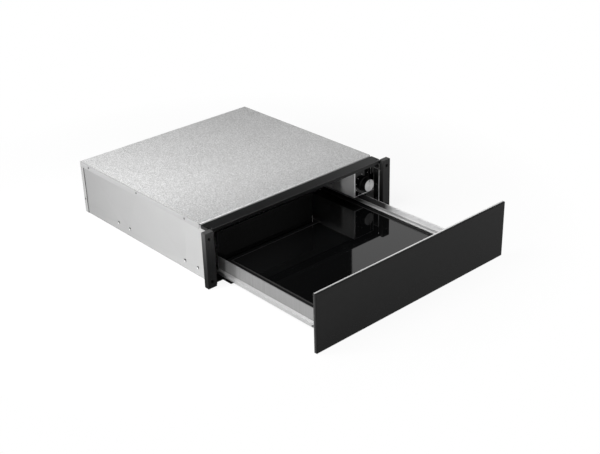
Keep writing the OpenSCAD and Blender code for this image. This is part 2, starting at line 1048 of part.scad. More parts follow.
module blower_housing() {
    screw_reach = motor_plate / 2 - motor_screw_inset;
    heater_zs = [(outlet_z + outlet_top - heater_pitch) / 2, (outlet_z + outlet_top + heater_pitch) / 2];
    color("silver")
    from_front()
    difference() {
        union() {
            difference() {
                along_x(blower_x0, blower_x1)
                    scroll_outline(0);
                along_x(blower_x0 + sheet_t, blower_x1 - sheet_t)
                    scroll_outline(sheet_t);
                block(blower_x0 + sheet_t, blower_x1 - sheet_t, blower_y, rotor_y + leg_w / 2,
                    rotor_z - scroll_r - cut, rotor_z - leg_w / 2);
            }
            blower_end(blower_x0, blower_x0);
            blower_end(blower_x1 - sheet_t, blower_x1 - foot_w);
        }
        rod_x(blower_x0 - cut, blower_x0 + sheet_t + cut, rotor_y, rotor_z, bush_r + rod_gap);
        rod_x(blower_x1 - sheet_t - cut, blower_x1 + cut, rotor_y, rotor_z, hub_r + slip);
        for (z = heater_zs)
            rod_x(blower_x1 - sheet_t - cut, blower_x1 + cut, heater_y, z, heater_r + rod_gap);
        for (y = [-screw_reach, screw_reach], z = [-screw_reach, screw_reach])
            rod_x(blower_x1 - sheet_t - cut, blower_x1 + cut, rotor_y + y, rotor_z + z,
                motor_screw_r + rod_gap);
    }
}

module blower_guard() {
    slots = floor((blower_len - guard_border * 2) / guard_slot_pitch);
    first = (blower_len - slots * guard_slot_pitch + guard_slot_pitch - guard_slot_w) / 2;
    color("dimgray")
    from_front()
    difference() {
        block(blower_x0, blower_x1, blower_y - guard_t, blower_y, outlet_z, outlet_top);
        for (i = [0 : slots - 1])
            translate([blower_x0 + first + i * guard_slot_pitch, 0, 0])
                block(0, guard_slot_w, blower_y - guard_t - cut, blower_y + cut,
                    outlet_z + guard_border, outlet_top - guard_border);
    }
}

module blower_motor() {
    reach = motor_plate / 2 - motor_screw_inset;
    color("darkgray")
    from_front()
    translate([blower_x1, rotor_y, rotor_z])
    difference() {
        union() {
            block(0, motor_plate_t, -motor_plate / 2, motor_plate / 2, -motor_plate / 2, motor_plate / 2);
            rod_x(0, motor_len - motor_plate_t, 0, 0, motor_r);
            rod_x(motor_len - motor_plate_t, motor_len, 0, 0, hub_r);
        }
        rod_x(-cut, motor_len - motor_plate_t, 0, 0, shaft_r + run_gap);
        for (y = [-reach, reach], z = [-reach, reach])
            rod_x(-cut, motor_plate_t + cut, y, z, motor_screw_r + rod_gap);
    }
}

module motor_screws() {
    reach = motor_plate / 2 - motor_screw_inset;
    color("dimgray")
    from_front()
    translate([blower_x1, rotor_y, rotor_z])
    for (y = [-reach, reach], z = [-reach, reach])
        translate([0, y, z]) {
            rod_x(-sheet_t - motor_plate_t, motor_plate_t, 0, 0, motor_screw_r);
            rod_x(motor_plate_t, motor_plate_t + screw_head_h, 0, 0, screw_head_r);
        }
}

// Wheel with its blades between two end discs
module fan_wheel() {
    x0 = blower_x0 + sheet_t + rotor_end_gap;
    x1 = blower_x1 - sheet_t - rotor_end_gap;
    color("lightsteelblue")
    from_front()
    difference() {
        union() {
            along_x(x0, x1)
                translate([rotor_y, rotor_z])
                    for (i = [0 : blade_count - 1])
                        rotate(i * 360 / blade_count)
                            translate([rotor_r - blade_w / 2 - blade_t, 0])
                                rotate(blade_lean)
                                    square([blade_w, blade_t], center = true);
            for (x = [x0, (x0 + x1 - disc_t) / 2, x1 - disc_t])
                rod_x(x, x + disc_t, rotor_y, rotor_z, rotor_r);
            rod_x(x0, x0 + hub_len, rotor_y, rotor_z, hub_r);
            rod_x(x1 - hub_len, x1, rotor_y, rotor_z, hub_r);
        }
        rod_x(x0 - cut, x1 + cut, rotor_y, rotor_z, shaft_r + run_gap);
    }
}

module fan_shaft() {
    color("silver")
    from_front()
        rod_x(blower_x0 - shaft_end, blower_x1 + motor_len - motor_plate_t - cut, rotor_y, rotor_z, shaft_r);
}

module shaft_bush() {
    color("goldenrod")
    from_front()
    difference() {
        union() {
            rod_x(blower_x0 - bush_len / 2, blower_x0 + bush_len / 2, rotor_y, rotor_z, bush_r);
            rod_x(blower_x0 - bush_len / 2, blower_x0, rotor_y, rotor_z, bush_r + sheet_t);
        }
        rod_x(blower_x0 - bush_len, blower_x0 + bush_len, rotor_y, rotor_z, shaft_r + run_gap);
    }
}

// Sheathed heater, bent back on itself inside the outlet
module heater_element() {
    bend_x = blower_x0 + sheet_t + heater_pitch;
    end_x = blower_x1 + heater_end;
    color("dimgray")
    from_front()
    translate([0, heater_y, (outlet_z + outlet_top) / 2]) {
        for (side = [-1, 1]) {
            rod_x(bend_x, end_x, 0, side * heater_pitch / 2, heater_r);
            rod_x(end_x, end_x + heater_pin_len, 0, side * heater_pitch / 2, heater_pin_r);
        }
        translate([bend_x, 0, 0])
            rotate([90, 0, 0])
                rotate([0, 0, 90])
                    rotate_extrude(angle = 180)
                        translate([heater_pitch / 2, 0])
                            circle(r = heater_r);
    }
}

module thermal_cutout() {
    y = blower_y + outlet_h / 2;
    z = (outlet_z + outlet_top) / 2;
    color("black")
    from_front() {
        rod_x(blower_x0 - cutout_h, blower_x0, y, z, cutout_r);
        for (side = [-1, 1])
            translate([blower_x0 - cutout_h, y, z + side * cutout_r / 2])
                block(-terminal_len, 0, -terminal_w / 2, terminal_w / 2, -terminal_t / 2, terminal_t / 2);
    }
}

// Latch and inlet

module latch_body() {
    front = plunger_tip_y + plunger_out;
    color("ivory")
    from_front()
    difference() {
        block(latch_x - latch_w / 2, latch_x + latch_w / 2, front, front + latch_depth,
            sheet_t, sheet_t + latch_h);
        rod_y(front - cut, front + latch_bore_len, latch_x, latch_z, plunger_r + run_gap);
    }
}

module latch_plunger() {
    color("orange")
    from_front()
        rod_y(plunger_tip_y, plunger_tip_y + plunger_len, latch_x, latch_z, plunger_r);
}

module latch_striker() {
    color("silver")
    from_front()
        block(latch_x - striker_w / 2, latch_x + striker_w / 2, wall_rear_y, wall_rear_y + striker_t,
            latch_z - striker_h / 2, latch_z + striker_h / 2);
}

module terminal_block() {
    front = rear_in_y - block_d;
    color("ivory")
    from_front()
    difference() {
        block(block_x - block_w / 2, block_x + block_w / 2, front, rear_in_y,
            block_z - block_h / 2, block_z + block_h / 2);
        for (i = [0 : block_poles - 1])
            rod_y(front - cut, front + block_well_depth,
                block_x + (i + 0.5 - block_poles / 2) * block_w / block_poles, block_z, block_well_r);
    }
}

module cable_gland() {
    color("black")
    from_front()
    difference() {
        union() {
            rod_y(casing_depth, casing_depth + gland_flange_t, block_x, inlet_z, gland_flange_r);
            rod_y(rear_in_y, casing_depth, block_x, inlet_z, gland_neck_r);
            rod_y(rear_in_y - gland_nut_t, rear_in_y, block_x, inlet_z, gland_flange_r);
        }
        rod_y(rear_in_y - gland_nut_t - cut, casing_depth + gland_flange_t + cut, block_x, inlet_z, inlet_r);
    }
}

// Drawer front

module front_glass() {
    half = panel_half_w - rim_t - glue_gap;
    edge = rim_t + glue_gap;
    color("black")
    from_front()
        block(-half, half, panel_front_y, panel_front_y + front_glass_t,
            frame_bottom + edge, panel_top - edge);
}

module front_frame() {
    pocket = panel_half_w - rim_t;
    hollow = pocket - frame_ledge_w;
    edge = rim_t + frame_ledge_w;
    color("silver")
    from_front()
    difference() {
        block(-panel_half_w, panel_half_w, panel_front_y, panel_back_y, frame_bottom, panel_top);
        block(-pocket, pocket, panel_front_y - cut, panel_front_y + front_glass_t,
            frame_bottom + rim_t, panel_top - rim_t);
        block(-hollow, hollow, panel_front_y, panel_back_y - frame_t, frame_bottom + edge, panel_top - edge);
        both_sides()
            for (z = front_screw_zs)
                rod_y(panel_back_y - frame_t - cut, panel_back_y + cut, front_flange_w / 2 - tray_in,
                    tray_foot + z, screw_shank_r + rod_gap);
    }
}

module front_screws() {
    inside_y = panel_back_y + tray_t;
    color("dimgray")
    from_front()
    both_sides()
        for (z = front_screw_zs) {
            rod_y(inside_y - front_screw_len, inside_y, front_flange_w / 2 - tray_in, tray_foot + z,
                screw_shank_r);
            rod_y(inside_y, inside_y + screw_head_h, front_flange_w / 2 - tray_in, tray_foot + z,
                screw_head_r);
        }
}

// Tray

// Left side of the tray, with its foot, its hem and the flange that holds the front
module tray_side(rear_y) {
    difference() {
        union() {
            along_y(panel_back_y, rear_y)
                polygon([
                    [-tray_half, tray_foot],
                    [foot_flange_w - tray_in, tray_foot],
                    [foot_flange_w - tray_in, tray_foot + tray_t],
                    [-tray_in, tray_foot + tray_t],
                    [-tray_in, tray_top - hem_h],
                    [hem_w - tray_in, tray_top - hem_h],
                    [hem_w - tray_in, tray_top],
                    [-tray_half, tray_top]
                ]);
            block(-tray_in, front_flange_w - tray_in, panel_back_y, panel_back_y + tray_t,
                tray_foot + front_flange_rise, tray_top - hem_h);
        }
        for (z = front_screw_zs)
            rod_y(panel_back_y - cut, panel_back_y + tray_t + cut, front_flange_w / 2 - tray_in,
                tray_foot + z, screw_shank_r + rod_gap);
    }
}

module left_tray_side() {
    color("silver")
    from_front()
        tray_side(wall_rear_y);
}

module right_tray_side() {
    color("silver")
    from_front()
    mirror([1, 0, 0])
        tray_side(bay_rear_y);
}

// Floor with sloping edges, cut out behind the tall wall
module tray_floor() {
    y0 = panel_back_y + tray_t + slip;
    flat = tray_in - floor_edge_w;
    edge_z = floor_z + floor_edge_rise;
    color("gainsboro")
    from_front()
    difference() {
        union() {
            along_y(y0, bay_rear_y - tray_t)
                polygon([
                    [-tray_in, edge_z + floor_hem_h],
                    [-tray_in, edge_z],
                    [-flat, floor_z],
                    [flat, floor_z],
                    [tray_in, edge_z],
                    [tray_in, edge_z + floor_hem_h],
                    [tray_in - floor_t, edge_z + floor_hem_h],
                    [tray_in - floor_t, edge_z + floor_t],
                    [flat - floor_t / 2, floor_top],
                    [floor_t / 2 - flat, floor_top],
                    [floor_t - tray_in, edge_z + floor_t],
                    [floor_t - tray_in, edge_z + floor_hem_h]
                ]);
            block(-base_half, base_half, y0, y0 + floor_t, floor_z, floor_z + floor_lip_h);
        }
        block(-tray_w, bay_x + tray_t, wall_front_y, bay_rear_y, 0, casing_h);
    }
}

// Space that a side's hem takes out of a wall behind it, on the left
module hem_notch() {
    block(-tray_in - cut, hem_w - tray_in, wall_front_y - cut, bay_rear_y + cut, tray_top - hem_h, tray_top);
}

module tray_back_wall() {
    color("black")
    from_front()
    difference() {
        union() {
            block(-tray_in, bay_x, wall_front_y, wall_rear_y, tray_foot + tray_t, tray_foot + back_wall_h);
            block(-tray_in, bay_x, wall_rear_y, wall_rear_y + wall_hem_w,
                tray_foot + back_wall_h - tray_t, tray_foot + back_wall_h);
        }
        hem_notch();
    }
}

module tray_bay_wall() {
    foot = tray_foot + tray_t;
    color("silver")
    from_front()
    difference() {
        union() {
            block(bay_x, bay_x + tray_t, wall_front_y, bay_rear_y, foot, tray_top);
            block(bay_x, tray_in, bay_rear_y - tray_t, bay_rear_y, foot, tray_top);
        }
        mirror([1, 0, 0])
            hem_notch();
    }
}

// Outline of the glass base and its frame seen from above, drawn in by some distance
module base_outline(inset) {
    polygon([
        [inset - base_half, base_y0 + inset],
        [base_half - inset, base_y0 + inset],
        [base_half - inset, base_y2 - inset],
        [base_bay_x + inset, base_y2 - inset],
        [base_bay_x + inset, base_y1 - inset],
        [inset - base_half, base_y1 - inset]
    ]);
}

// Ring between two insets of the outline, between two heights
module base_ring(outer, inner, z0, z1) {
    translate([0, 0, z0])
        linear_extrude(height = z1 - z0)
            difference() {
                base_outline(outer);
                base_outline(inner);
            }
}

module base_frame() {
    inner = base_strip_w + base_seal_w + base_ledge_w;
    color("black")
    from_front()
    difference() {
        union() {
            base_ring(0, inner, floor_top, base_ledge_top);
            base_ring(0, base_strip_w, base_ledge_top, base_top);
        }
        base_ring(base_wall_t, inner - base_wall_t, floor_top - cut, base_ledge_top - base_wall_t);
    }
}

module base_seal() {
    color("black")
    from_front()
        base_ring(base_strip_w, base_strip_w + base_seal_w, base_ledge_top, base_top - base_seal_drop);
}

module base_glass() {
    color("black")
    from_front()
    translate([0, 0, base_ledge_top])
        linear_extrude(height = base_glass_t)
            base_outline(base_strip_w + base_seal_w);
}

base_pan();
top_plate();
left_side_wall();
right_side_wall();
rear_plate();
front_top_bar();
left_front_post();
right_front_post();
bottom_front_rail();
bar_screws();
post_rivets();
casing_screws();
left_rail_brackets();
right_rail_brackets();
left_casing_rail();
right_casing_rail();
left_middle_rail();
right_middle_rail();
left_drawer_rail();
right_drawer_rail();
inner_ball_cages();
inner_balls();
outer_ball_cages();
outer_balls();
rail_screws();
control_box();
control_fascia();
indicator_lens();
thermostat();
knob();
knob_cap();
knob_spindle();
blower_housing();
blower_guard();
blower_motor();
motor_screws();
fan_wheel();
fan_shaft();
shaft_bush();
heater_element();
thermal_cutout();
terminal_block();
cable_gland();
latch_body();
latch_plunger();
latch_striker();
front_glass();
front_frame();
front_screws();
left_tray_side();
right_tray_side();
tray_floor();
tray_back_wall();
tray_bay_wall();
base_frame();
base_seal();
base_glass();
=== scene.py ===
import json
import math

import bmesh
import bpy
from mathutils import Matrix, Vector


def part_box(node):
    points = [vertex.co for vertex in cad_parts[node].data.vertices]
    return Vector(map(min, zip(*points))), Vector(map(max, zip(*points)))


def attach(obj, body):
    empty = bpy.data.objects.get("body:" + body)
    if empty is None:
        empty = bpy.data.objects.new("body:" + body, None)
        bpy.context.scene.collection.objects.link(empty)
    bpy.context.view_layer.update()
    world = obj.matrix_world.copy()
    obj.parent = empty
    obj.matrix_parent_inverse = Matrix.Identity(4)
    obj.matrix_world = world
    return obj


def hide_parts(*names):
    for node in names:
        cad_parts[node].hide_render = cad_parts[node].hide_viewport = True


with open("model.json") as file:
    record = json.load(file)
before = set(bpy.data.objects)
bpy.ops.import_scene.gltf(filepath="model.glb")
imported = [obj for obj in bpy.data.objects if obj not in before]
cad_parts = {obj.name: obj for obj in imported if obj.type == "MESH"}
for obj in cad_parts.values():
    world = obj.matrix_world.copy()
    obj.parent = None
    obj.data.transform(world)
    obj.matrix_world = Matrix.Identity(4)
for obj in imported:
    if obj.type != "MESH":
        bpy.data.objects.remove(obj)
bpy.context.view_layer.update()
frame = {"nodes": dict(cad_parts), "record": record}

mm = 0.001
scene = bpy.context.scene
bodyOf = {node: body for body, nodes in frame["record"]["behaviour"]["bodies"].items() for node in nodes}
slotOf = {entry["node"]: entry["material_slot"] for entry in frame["record"]["subparts"]}
print("frame loaded:", len(frame["nodes"]), "nodes")


# Camera: angles in degrees, lengths in millimetres

photoView = {
    "azimuth": -41.45,
    "elevation": 27.06,
    "roll": -1.66,
    "distance": 2544.49,
    "target": (-15.01, -282.0, 58.41),
    "lens": 63.916,
    "sensor": 36.0,
    "nearest": 50.0,
    "farthest": 60000.0,
}


def addCamera(view):
    azimuth, elevation, roll = (math.radians(view[key]) for key in ("azimuth", "elevation", "roll"))
    back = Vector((math.sin(azimuth) * math.cos(elevation),
                   -math.cos(azimuth) * math.cos(elevation),
                   math.sin(elevation)))
    level = Vector((math.cos(azimuth), math.sin(azimuth), 0))
    upright = back.cross(level)
    right = math.cos(roll) * level + math.sin(roll) * upright
    up = -math.sin(roll) * level + math.cos(roll) * upright
    lens = bpy.data.cameras.new("photoCamera")
    lens.lens = view["lens"]
    lens.sensor_width = view["sensor"]
    lens.clip_start = view["nearest"] * mm
    lens.clip_end = view["farthest"] * mm
    camera = bpy.data.objects.new("photoCamera", lens)
    scene.collection.objects.link(camera)
    camera.matrix_world = Matrix((right, up, back)).transposed().to_4x4()
    camera.location = (Vector(view["target"]) + view["distance"] * back) * mm
    scene.camera = camera


addCamera(photoView)
print("camera placed")


# Lowest and highest corner of a CAD node, in millimetres
def corners(node):
    low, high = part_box(node)
    return low / mm, high / mm


# Colour of a grey as it looks on screen, 0 to 255, with a lean to warm or cool
def tone(level, warmth=0.0):
    channels = [min(1.0, max(0.0, (level + lean * warmth) / 255)) for lean in (1, 0, -1)]
    return tuple(c / 12.92 if c <= 0.04045 else ((c + 0.055) / 1.055) ** 2.4 for c in channels) + (1.0,)


# One output socket, usable in sums
class Wire:
    def __init__(self, finish, socket):
        self.finish = finish
        self.socket = socket

    def __add__(self, other):
        return self.finish.sum("ADD", self, other)

    def __radd__(self, other):
        return self.finish.sum("ADD", other, self)

    def __sub__(self, other):
        return self.finish.sum("SUBTRACT", self, other)

    def __rsub__(self, other):
        return self.finish.sum("SUBTRACT", other, self)

    def __mul__(self, other):
        return self.finish.sum("MULTIPLY", self, other)

    def __rmul__(self, other):
        return self.finish.sum("MULTIPLY", other, self)

    def __truediv__(self, other):
        return self.finish.sum("DIVIDE", self, other)

    def __rtruediv__(self, other):
        return self.finish.sum("DIVIDE", other, self)

    def __pow__(self, other):
        return self.finish.sum("POWER", self, other)

    def __gt__(self, other):
        return self.finish.sum("GREATER_THAN", self, other)

    def __lt__(self, other):
        return self.finish.sum("LESS_THAN", self, other)

    def __abs__(self):
        return self.finish.sum("ABSOLUTE", self)


# One node, with its outputs by name or number
class Placed:
    def __init__(self, finish, node):
        self.finish = finish
        self.node = node

    def __getitem__(self, name):
        return Wire(self.finish, self.node.outputs[name])


# One material, or the world, and its nodes
class Finish:
    def __init__(self, name, owner=None):
        self.material = owner or bpy.data.materials.new(name)
        self.material.use_nodes = True
        self.nodes = self.material.node_tree.nodes
        self.links = self.material.node_tree.links
        self.nodes.clear()

    def add(self, kind, settings=None, values=None):
        node = self.nodes.new(kind)
        for key, setting in (settings or {}).items():
            if key == "stops":
                ramp = node.color_ramp
                while len(ramp.elements) < len(setting):
                    ramp.elements.new(0.5)
                for element, (place, colour) in zip(ramp.elements, setting):
                    element.position = place
                    element.color = colour
            else:
                setattr(node, key, setting)
        for key, value in (values or {}).items():
            if isinstance(value, Wire):
                self.links.new(value.socket, node.inputs[key])
            else:
                node.inputs[key].default_value = value
        return Placed(self, node)

    # One step of a sum
    def sum(self, operation, *values):
        return self.add("ShaderNodeMath", {"operation": operation}, dict(enumerate(values)))["Value"]

    # Places in the part's own frame, stretched by a factor for each axis
    def places(self, stretch=(1, 1, 1)):
        where = self.add("ShaderNodeTexCoord")["Object"]
        return self.add("ShaderNodeMapping", None, {"Vector": where, "Scale": stretch})["Vector"]

    # Place along one axis of the part's own frame, in millimetres
    def place(self, axis):
        where = self.add("ShaderNodeTexCoord")["Object"]
        return self.add("ShaderNodeSeparateXYZ", None, {"Vector": where})[axis] / mm

    # Share that rises from 0 at one place along an axis to 1 at another, in millimetres
    def rise(self, start, end, axis="Y"):
        share = (self.place(axis) - start) / (end - start)
        return self.add("ShaderNodeClamp", None, {"Value": share})["Result"]

    # Clouds of a size in millimetres
    def noise(self, size, detail=3.0, stretch=(1, 1, 1), roughness=0.5):
        return self.add("ShaderNodeTexNoise", None, {
            "Vector": self.places(stretch), "Scale": 1 / (size * mm),
            "Detail": detail, "Roughness": roughness})["Fac"]

    # First colour where the share is 0, second where it is 1
    def blend(self, share, first, second):
        # Sockets 6 and 7 take the colours, and output 2 gives the result
        settings = {"data_type": "RGBA", "blend_type": "MIX"}
        return self.add("ShaderNodeMix", settings, {0: share, 6: first, 7: second})[2]

    # Relief with a depth in millimetres
    def bump(self, height, depth, strength=1.0):
        return self.add("ShaderNodeBump", None, {
            "Height": height, "Distance": depth * mm, "Strength": strength})["Normal"]

    def surface(self, values):
        shader = self.add("ShaderNodeBsdfPrincipled", None, values)["BSDF"]
        self.add("ShaderNodeOutputMaterial", None, {"Surface": shader})
        return self.material


# Finishes: greys as they look on screen, 0 to 255, and lengths in millimetres

spangle = {
    "cell": 1.3,
    "wobble": 2.2,
    "fine": 0.8,
    "cloud": 110.0,
    "light": 240,
    "dark": 146,
    "metal": 0.2,
    "gloss": 0.4,
    "depth": 0.05,
}


# Hot dipped zinc: flat crystals, each with its own grey and gloss
# The pairs given are (mask, grey) of painted shade laid over the crystals
def galvanisedFinish(name, paintedShade=None):
    finish = Finish(name)
    cell = spangle["cell"] * mm
    wobble = finish.add("ShaderNodeTexNoise", None, {
        "Vector": finish.places(), "Scale": 1 / (spangle["wobble"] * cell), "Detail": 2.0})["Color"]
    moved = finish.add("ShaderNodeVectorMath", {"operation": "MULTIPLY_ADD"}, {
        0: wobble, 1: (cell, cell, cell), 2: finish.places()})["Vector"]
    crystals = finish.add("ShaderNodeTexVoronoi", {"feature": "F1"}, {"Vector": moved, "Scale": 1 / cell})
    grain = finish.add("ShaderNodeSeparateColor", None, {"Color": crystals["Color"]})["Red"]
    cloud = finish.noise(spangle["cloud"], 4.0)
    fine = finish.noise(spangle["fine"], 2.0)
    share = grain * 0.8 + fine * 0.12 + cloud * 0.08
    colour = finish.blend(share, tone(spangle["dark"]), tone(spangle["light"]))
    for mask, level in (paintedShade(finish) if paintedShade else ()):
        colour = finish.blend(mask, colour, tone(level))
    return finish.surface({
        "Base Color": colour,
        "Metallic": spangle["metal"],
        "Roughness": spangle["gloss"] + grain * 0.14 + cloud * 0.06,
        "Normal": finish.bump(grain * 0.6 + fine * 0.4, spangle["depth"], 0.6)})


plateShadeGreys = {"lip": 120, "lipBelow": 0.7, "flange": 146, "fold": 1.4}


# Painted shade on the front lip and side flanges of the top plate, with their folds
def plateShadePaint(finish):
    outer = corners("top_plate")[1]
    below = finish.place("Z") < outer.z - plateShadeGreys["lipBelow"]
    beside = abs(finish.place("X")) > outer.x - plateShadeGreys["fold"]
    return ((below * (1 - beside), plateShadeGreys["lip"]), (beside, plateShadeGreys["flange"]))


rearShadeGreys = {"flange": 146, "flangeDepth": 14, "fold": 0.9, "seam": 30, "seamWidth": 1.8}


# Painted shade on the side flanges of the rear plate, darkest in a painted shade line at their front edge
def rearShadePaint(finish):
    outer = corners("rear_plate")[1]
    beside = abs(finish.place("X")) > outer.x - rearShadeGreys["fold"]
    seam = finish.place("Y") < outer.y - rearShadeGreys["flangeDepth"] + rearShadeGreys["seamWidth"]
    return ((beside, rearShadeGreys["flange"]), (beside * seam, rearShadeGreys["seam"]))


rolling = {"width": 1.1, "length": 0.02, "cloud": 90, "depth": 0.01}


# Smooth zinc sheet, with faint rolling lines along Y; ends are the places where a painted light gradient
# runs from darker to lighter
def sheetFinish(name, light, dark, gloss, metal=0.25, ends=None):
    finish = Finish(name)
    rolled = finish.noise(rolling["width"], 4.0, (1, rolling["length"], 1))
    cloud = finish.noise(rolling["cloud"], 3.0)
    share = rolled * 0.35 + cloud * 0.65
    if ends:
        share = share * 0.3 + finish.rise(*ends) * 0.7
    return finish.surface({
        "Base Color": finish.blend(share, tone(dark), tone(light)),
        "Metallic": metal,
        "Roughness": gloss + rolled * 0.07 + cloud * 0.06,
        "Normal": finish.bump(rolled, rolling["depth"], 0.5)})


# Lowest and highest place of the drawer's front
def heights():
    low, high = corners("front_glass")
    return low.z, high.z


powder = {"dust": 30, "dustTone": 8, "depth": 0.03}
foldHighlight = {"level": 48, "depth": 1.5}


# Powder coat: fine orange peel and a little dust
# Its first mask lays a painted highlight, and top is the grey of a painted light gradient that rises to the
# height of the front's upper edge
def powderFinish(name, level, gloss, peel, shine=0.4, paintedHighlight=None, top=None):
    finish = Finish(name)
    skin = finish.noise(peel, 3.0)
    dust = finish.noise(powder["dust"], 5.0)
    colour = finish.blend(dust * 0.6 + skin * 0.2, tone(level), tone(level + powder["dustTone"], -1))
    if paintedHighlight:
        colour = finish.blend(paintedHighlight(finish), colour, tone(foldHighlight["level"]))
    if top:
        colour = finish.blend(finish.rise(*heights(), "Z") ** 2, colour, tone(top))
    return finish.surface({
        "Base Color": colour,
        "Specular IOR Level": shine,
        "Roughness": gloss + dust * 0.1 + skin * 0.05,
        "Normal": finish.bump(skin, powder["depth"], 0.55)})


# Painted highlight along the front fold of the top bar
def foldHighlightMask(finish):
    low, high = corners("front_top_bar")
    return (finish.place("Y") < low.y + foldHighlight["depth"]) * (finish.place("Z") > high.z - foldHighlight["depth"])


brushing = {
    "width": 0.4,
    "length": 0.012,
    "bands": 5.0,
    "cloud": 60,
    "depth": 0.012,
    "shine": 0.5,
    "paintGloss": 0.4,
    "paintShine": 0.12,
}


# Brushed steel, the brushing running along one axis; coats gives (mask, grey) pairs for its paint and for
# painted shade, and ends set a painted light gradient
def brushedFinish(name, light, dark, along, gloss, metal=0.3, coats=None, ends=None):
    finish = Finish(name)
    stretch = [1.0, 1.0, 1.0]
    stretch["xyz".index(along)] = brushing["length"]
    strokes = finish.noise(brushing["width"], 5.0, stretch, 0.65)
    bands = finish.noise(brushing["bands"], 3.0, stretch)
    cloud = finish.noise(brushing["cloud"], 2.0)
    share = strokes * 0.5 + bands * 0.5
    if ends:
        share = share * 0.75 + finish.rise(*ends) * 0.25
    colour = finish.blend(share, tone(dark), tone(light))
    rough = gloss + strokes * 0.14 + cloud * 0.05
    for mask, level in (coats(finish) if coats else ()):
        colour = finish.blend(mask, colour, tone(level))
        metal = (1 - mask) * metal
        rough = rough * (1 - mask) + mask * (brushing["paintGloss"] + cloud * 0.1)
    return finish.surface({
        "Base Color": colour,
        "Metallic": metal,
        "Specular IOR Level": brushing["paintShine" if coats else "shine"],
        "Roughness": rough,
        "Normal": finish.bump(strokes, brushing["depth"], 0.7)})


rimPaint = {"side": 50, "front": 14, "depth": 0.95}


# Paint of the drawer front's frame: black beside the glass, dark grey at the sides, bare elsewhere
def rimCoats(finish):
    low, high = corners("front_frame")
    glassBack = corners("front_glass")[1].y
    beside = abs(finish.place("X")) > high.x - rimPaint["depth"]
    above = finish.place("Z") > low.z + rimPaint["depth"]
    return ((beside, rimPaint["side"]), (above * (finish.place("Y") < glassBack), rimPaint["front"]))


trayRearShadow = {"ends": (-352, -322), "share": 0.96, "level": 24, "depth": 0.5}


# Painted shadow over the rear part of the right tray side's inner face
def trayRearShadowCoats(finish):
    inner = corners("tray_floor")[1].x
    inside = finish.place("X") < inner + trayRearShadow["depth"]
    return ((inside * finish.rise(*trayRearShadow["ends"]) * trayRearShadow["share"], trayRearShadow["level"]),)


floorEnamelAndShade = {"level": 10, "edge": 8.6}


# Black of the tray's floor, up to just under the fold of its edge: partly enamel, partly painted shade for
# the shadowed gap beside the base frame
def floorEnamelAndShadeCoats(finish):
    fold = corners("tray_floor")[1].z - floorEnamelAndShade["edge"]
    return ((finish.place("Z") < fold, floorEnamelAndShade["level"]),)


bracketBlackAndShade = {"level": 26, "lug": 1.1, "lugHeight": 21.7}


# Brackets: dark all over, partly black passivation and partly painted shade in the gap behind the side
# walls, with the lower half of the lugs bare where they stand in the side walls' slots and painted shadow
# on their upper half
def bracketBlackAndShadeCoats(finish):
    plate = corners("left_side_wall")[1].x
    inside = abs(finish.place("X")) < abs(plate) + bracketBlackAndShade["lug"]
    above = finish.place("Z") > bracketBlackAndShade["lugHeight"]
    return ((inside, bracketBlackAndShade["level"]), (above, bracketBlackAndShade["level"]))


running = {"width": 0.6, "length": 0.01, "patches": 12, "patchLength": 0.2, "depth": 0.012}


# Steel worn by running: polished tracks along Y
def rollerSteelFinish(name, light, dark, gloss):
    finish = Finish(name)
    drawn = finish.noise(running["width"], 4.0, (1, running["length"], 1))
    patches = finish.noise(running["patches"], 4.0, (1, running["patchLength"], 1))
    return finish.surface({
        "Base Color": finish.blend(drawn * 0.5 + patches * 0.5, tone(dark), tone(light)),
        "Metallic": 0.9,
        "Roughness": gloss + patches * 0.16,
        "Normal": finish.bump(drawn, running["depth"], 0.6)})


glass = {"smudge": 70, "drift": 240, "driftTone": 3, "wave": 160, "depth": 0.02}


# Black-backed glass: a clear even skin, with a breath of smudges in its gloss; top is the grey of a painted
# light gradient that rises to the front's upper edge
def blackGlassFinish(name, level, gloss, index, shine=0.5, top=None):
    finish = Finish(name)
    smudge = finish.noise(glass["smudge"], 5.0, (1, 1, 1), 0.6)
    drift = finish.noise(glass["drift"], 2.0)
    colour = finish.blend(drift, tone(level), tone(level + glass["driftTone"], -1))
    if top:
        colour = finish.blend(finish.rise(*heights(), "Z"), colour, tone(top))
    return finish.surface({
        "Base Color": colour,
        "Roughness": gloss + smudge * 0.025,
        "IOR": index,
        "Specular IOR Level": shine,
        "Normal": finish.bump(finish.noise(glass["wave"], 1.0), glass["depth"], 0.1)})


glossPaint = {"peel": 1.6, "smudge": 40, "smudgeTone": 5, "depth": 0.006}


# Gloss paint on steel
def glossPaintFinish(name, level, gloss, shine=0.5):
    finish = Finish(name)
    peel = finish.noise(glossPaint["peel"], 2.0)
    smudge = finish.noise(glossPaint["smudge"], 4.0)
    return finish.surface({
        "Base Color": finish.blend(smudge, tone(level), tone(level + glossPaint["smudgeTone"], -1)),
        "Roughness": gloss + smudge * 0.05,
        "Specular IOR Level": shine,
        "Normal": finish.bump(peel, glossPaint["depth"], 0.4)})


moulding = {"flow": 18, "flowTone": 9, "depth": 0.02}


# Moulded plastic: spark-eroded grain
def plasticFinish(name, level, gloss, warmth=0, grain=0.35, shine=0.5):
    finish = Finish(name)
    erosion = finish.noise(grain, 3.0)
    flow = finish.noise(moulding["flow"], 3.0)
    pale = tone(level + moulding["flowTone"], warmth)
    return finish.surface({
        "Base Color": finish.blend(flow * 0.6 + erosion * 0.3, tone(level, warmth), pale),
        "Specular IOR Level": shine,
        "Roughness": gloss + flow * 0.08,
        "Normal": finish.bump(erosion, moulding["depth"], 0.6)})


rubber = {"bloom": 9, "bloomTone": 14, "gloss": 0.55, "grain": 0.5, "depth": 0.02}


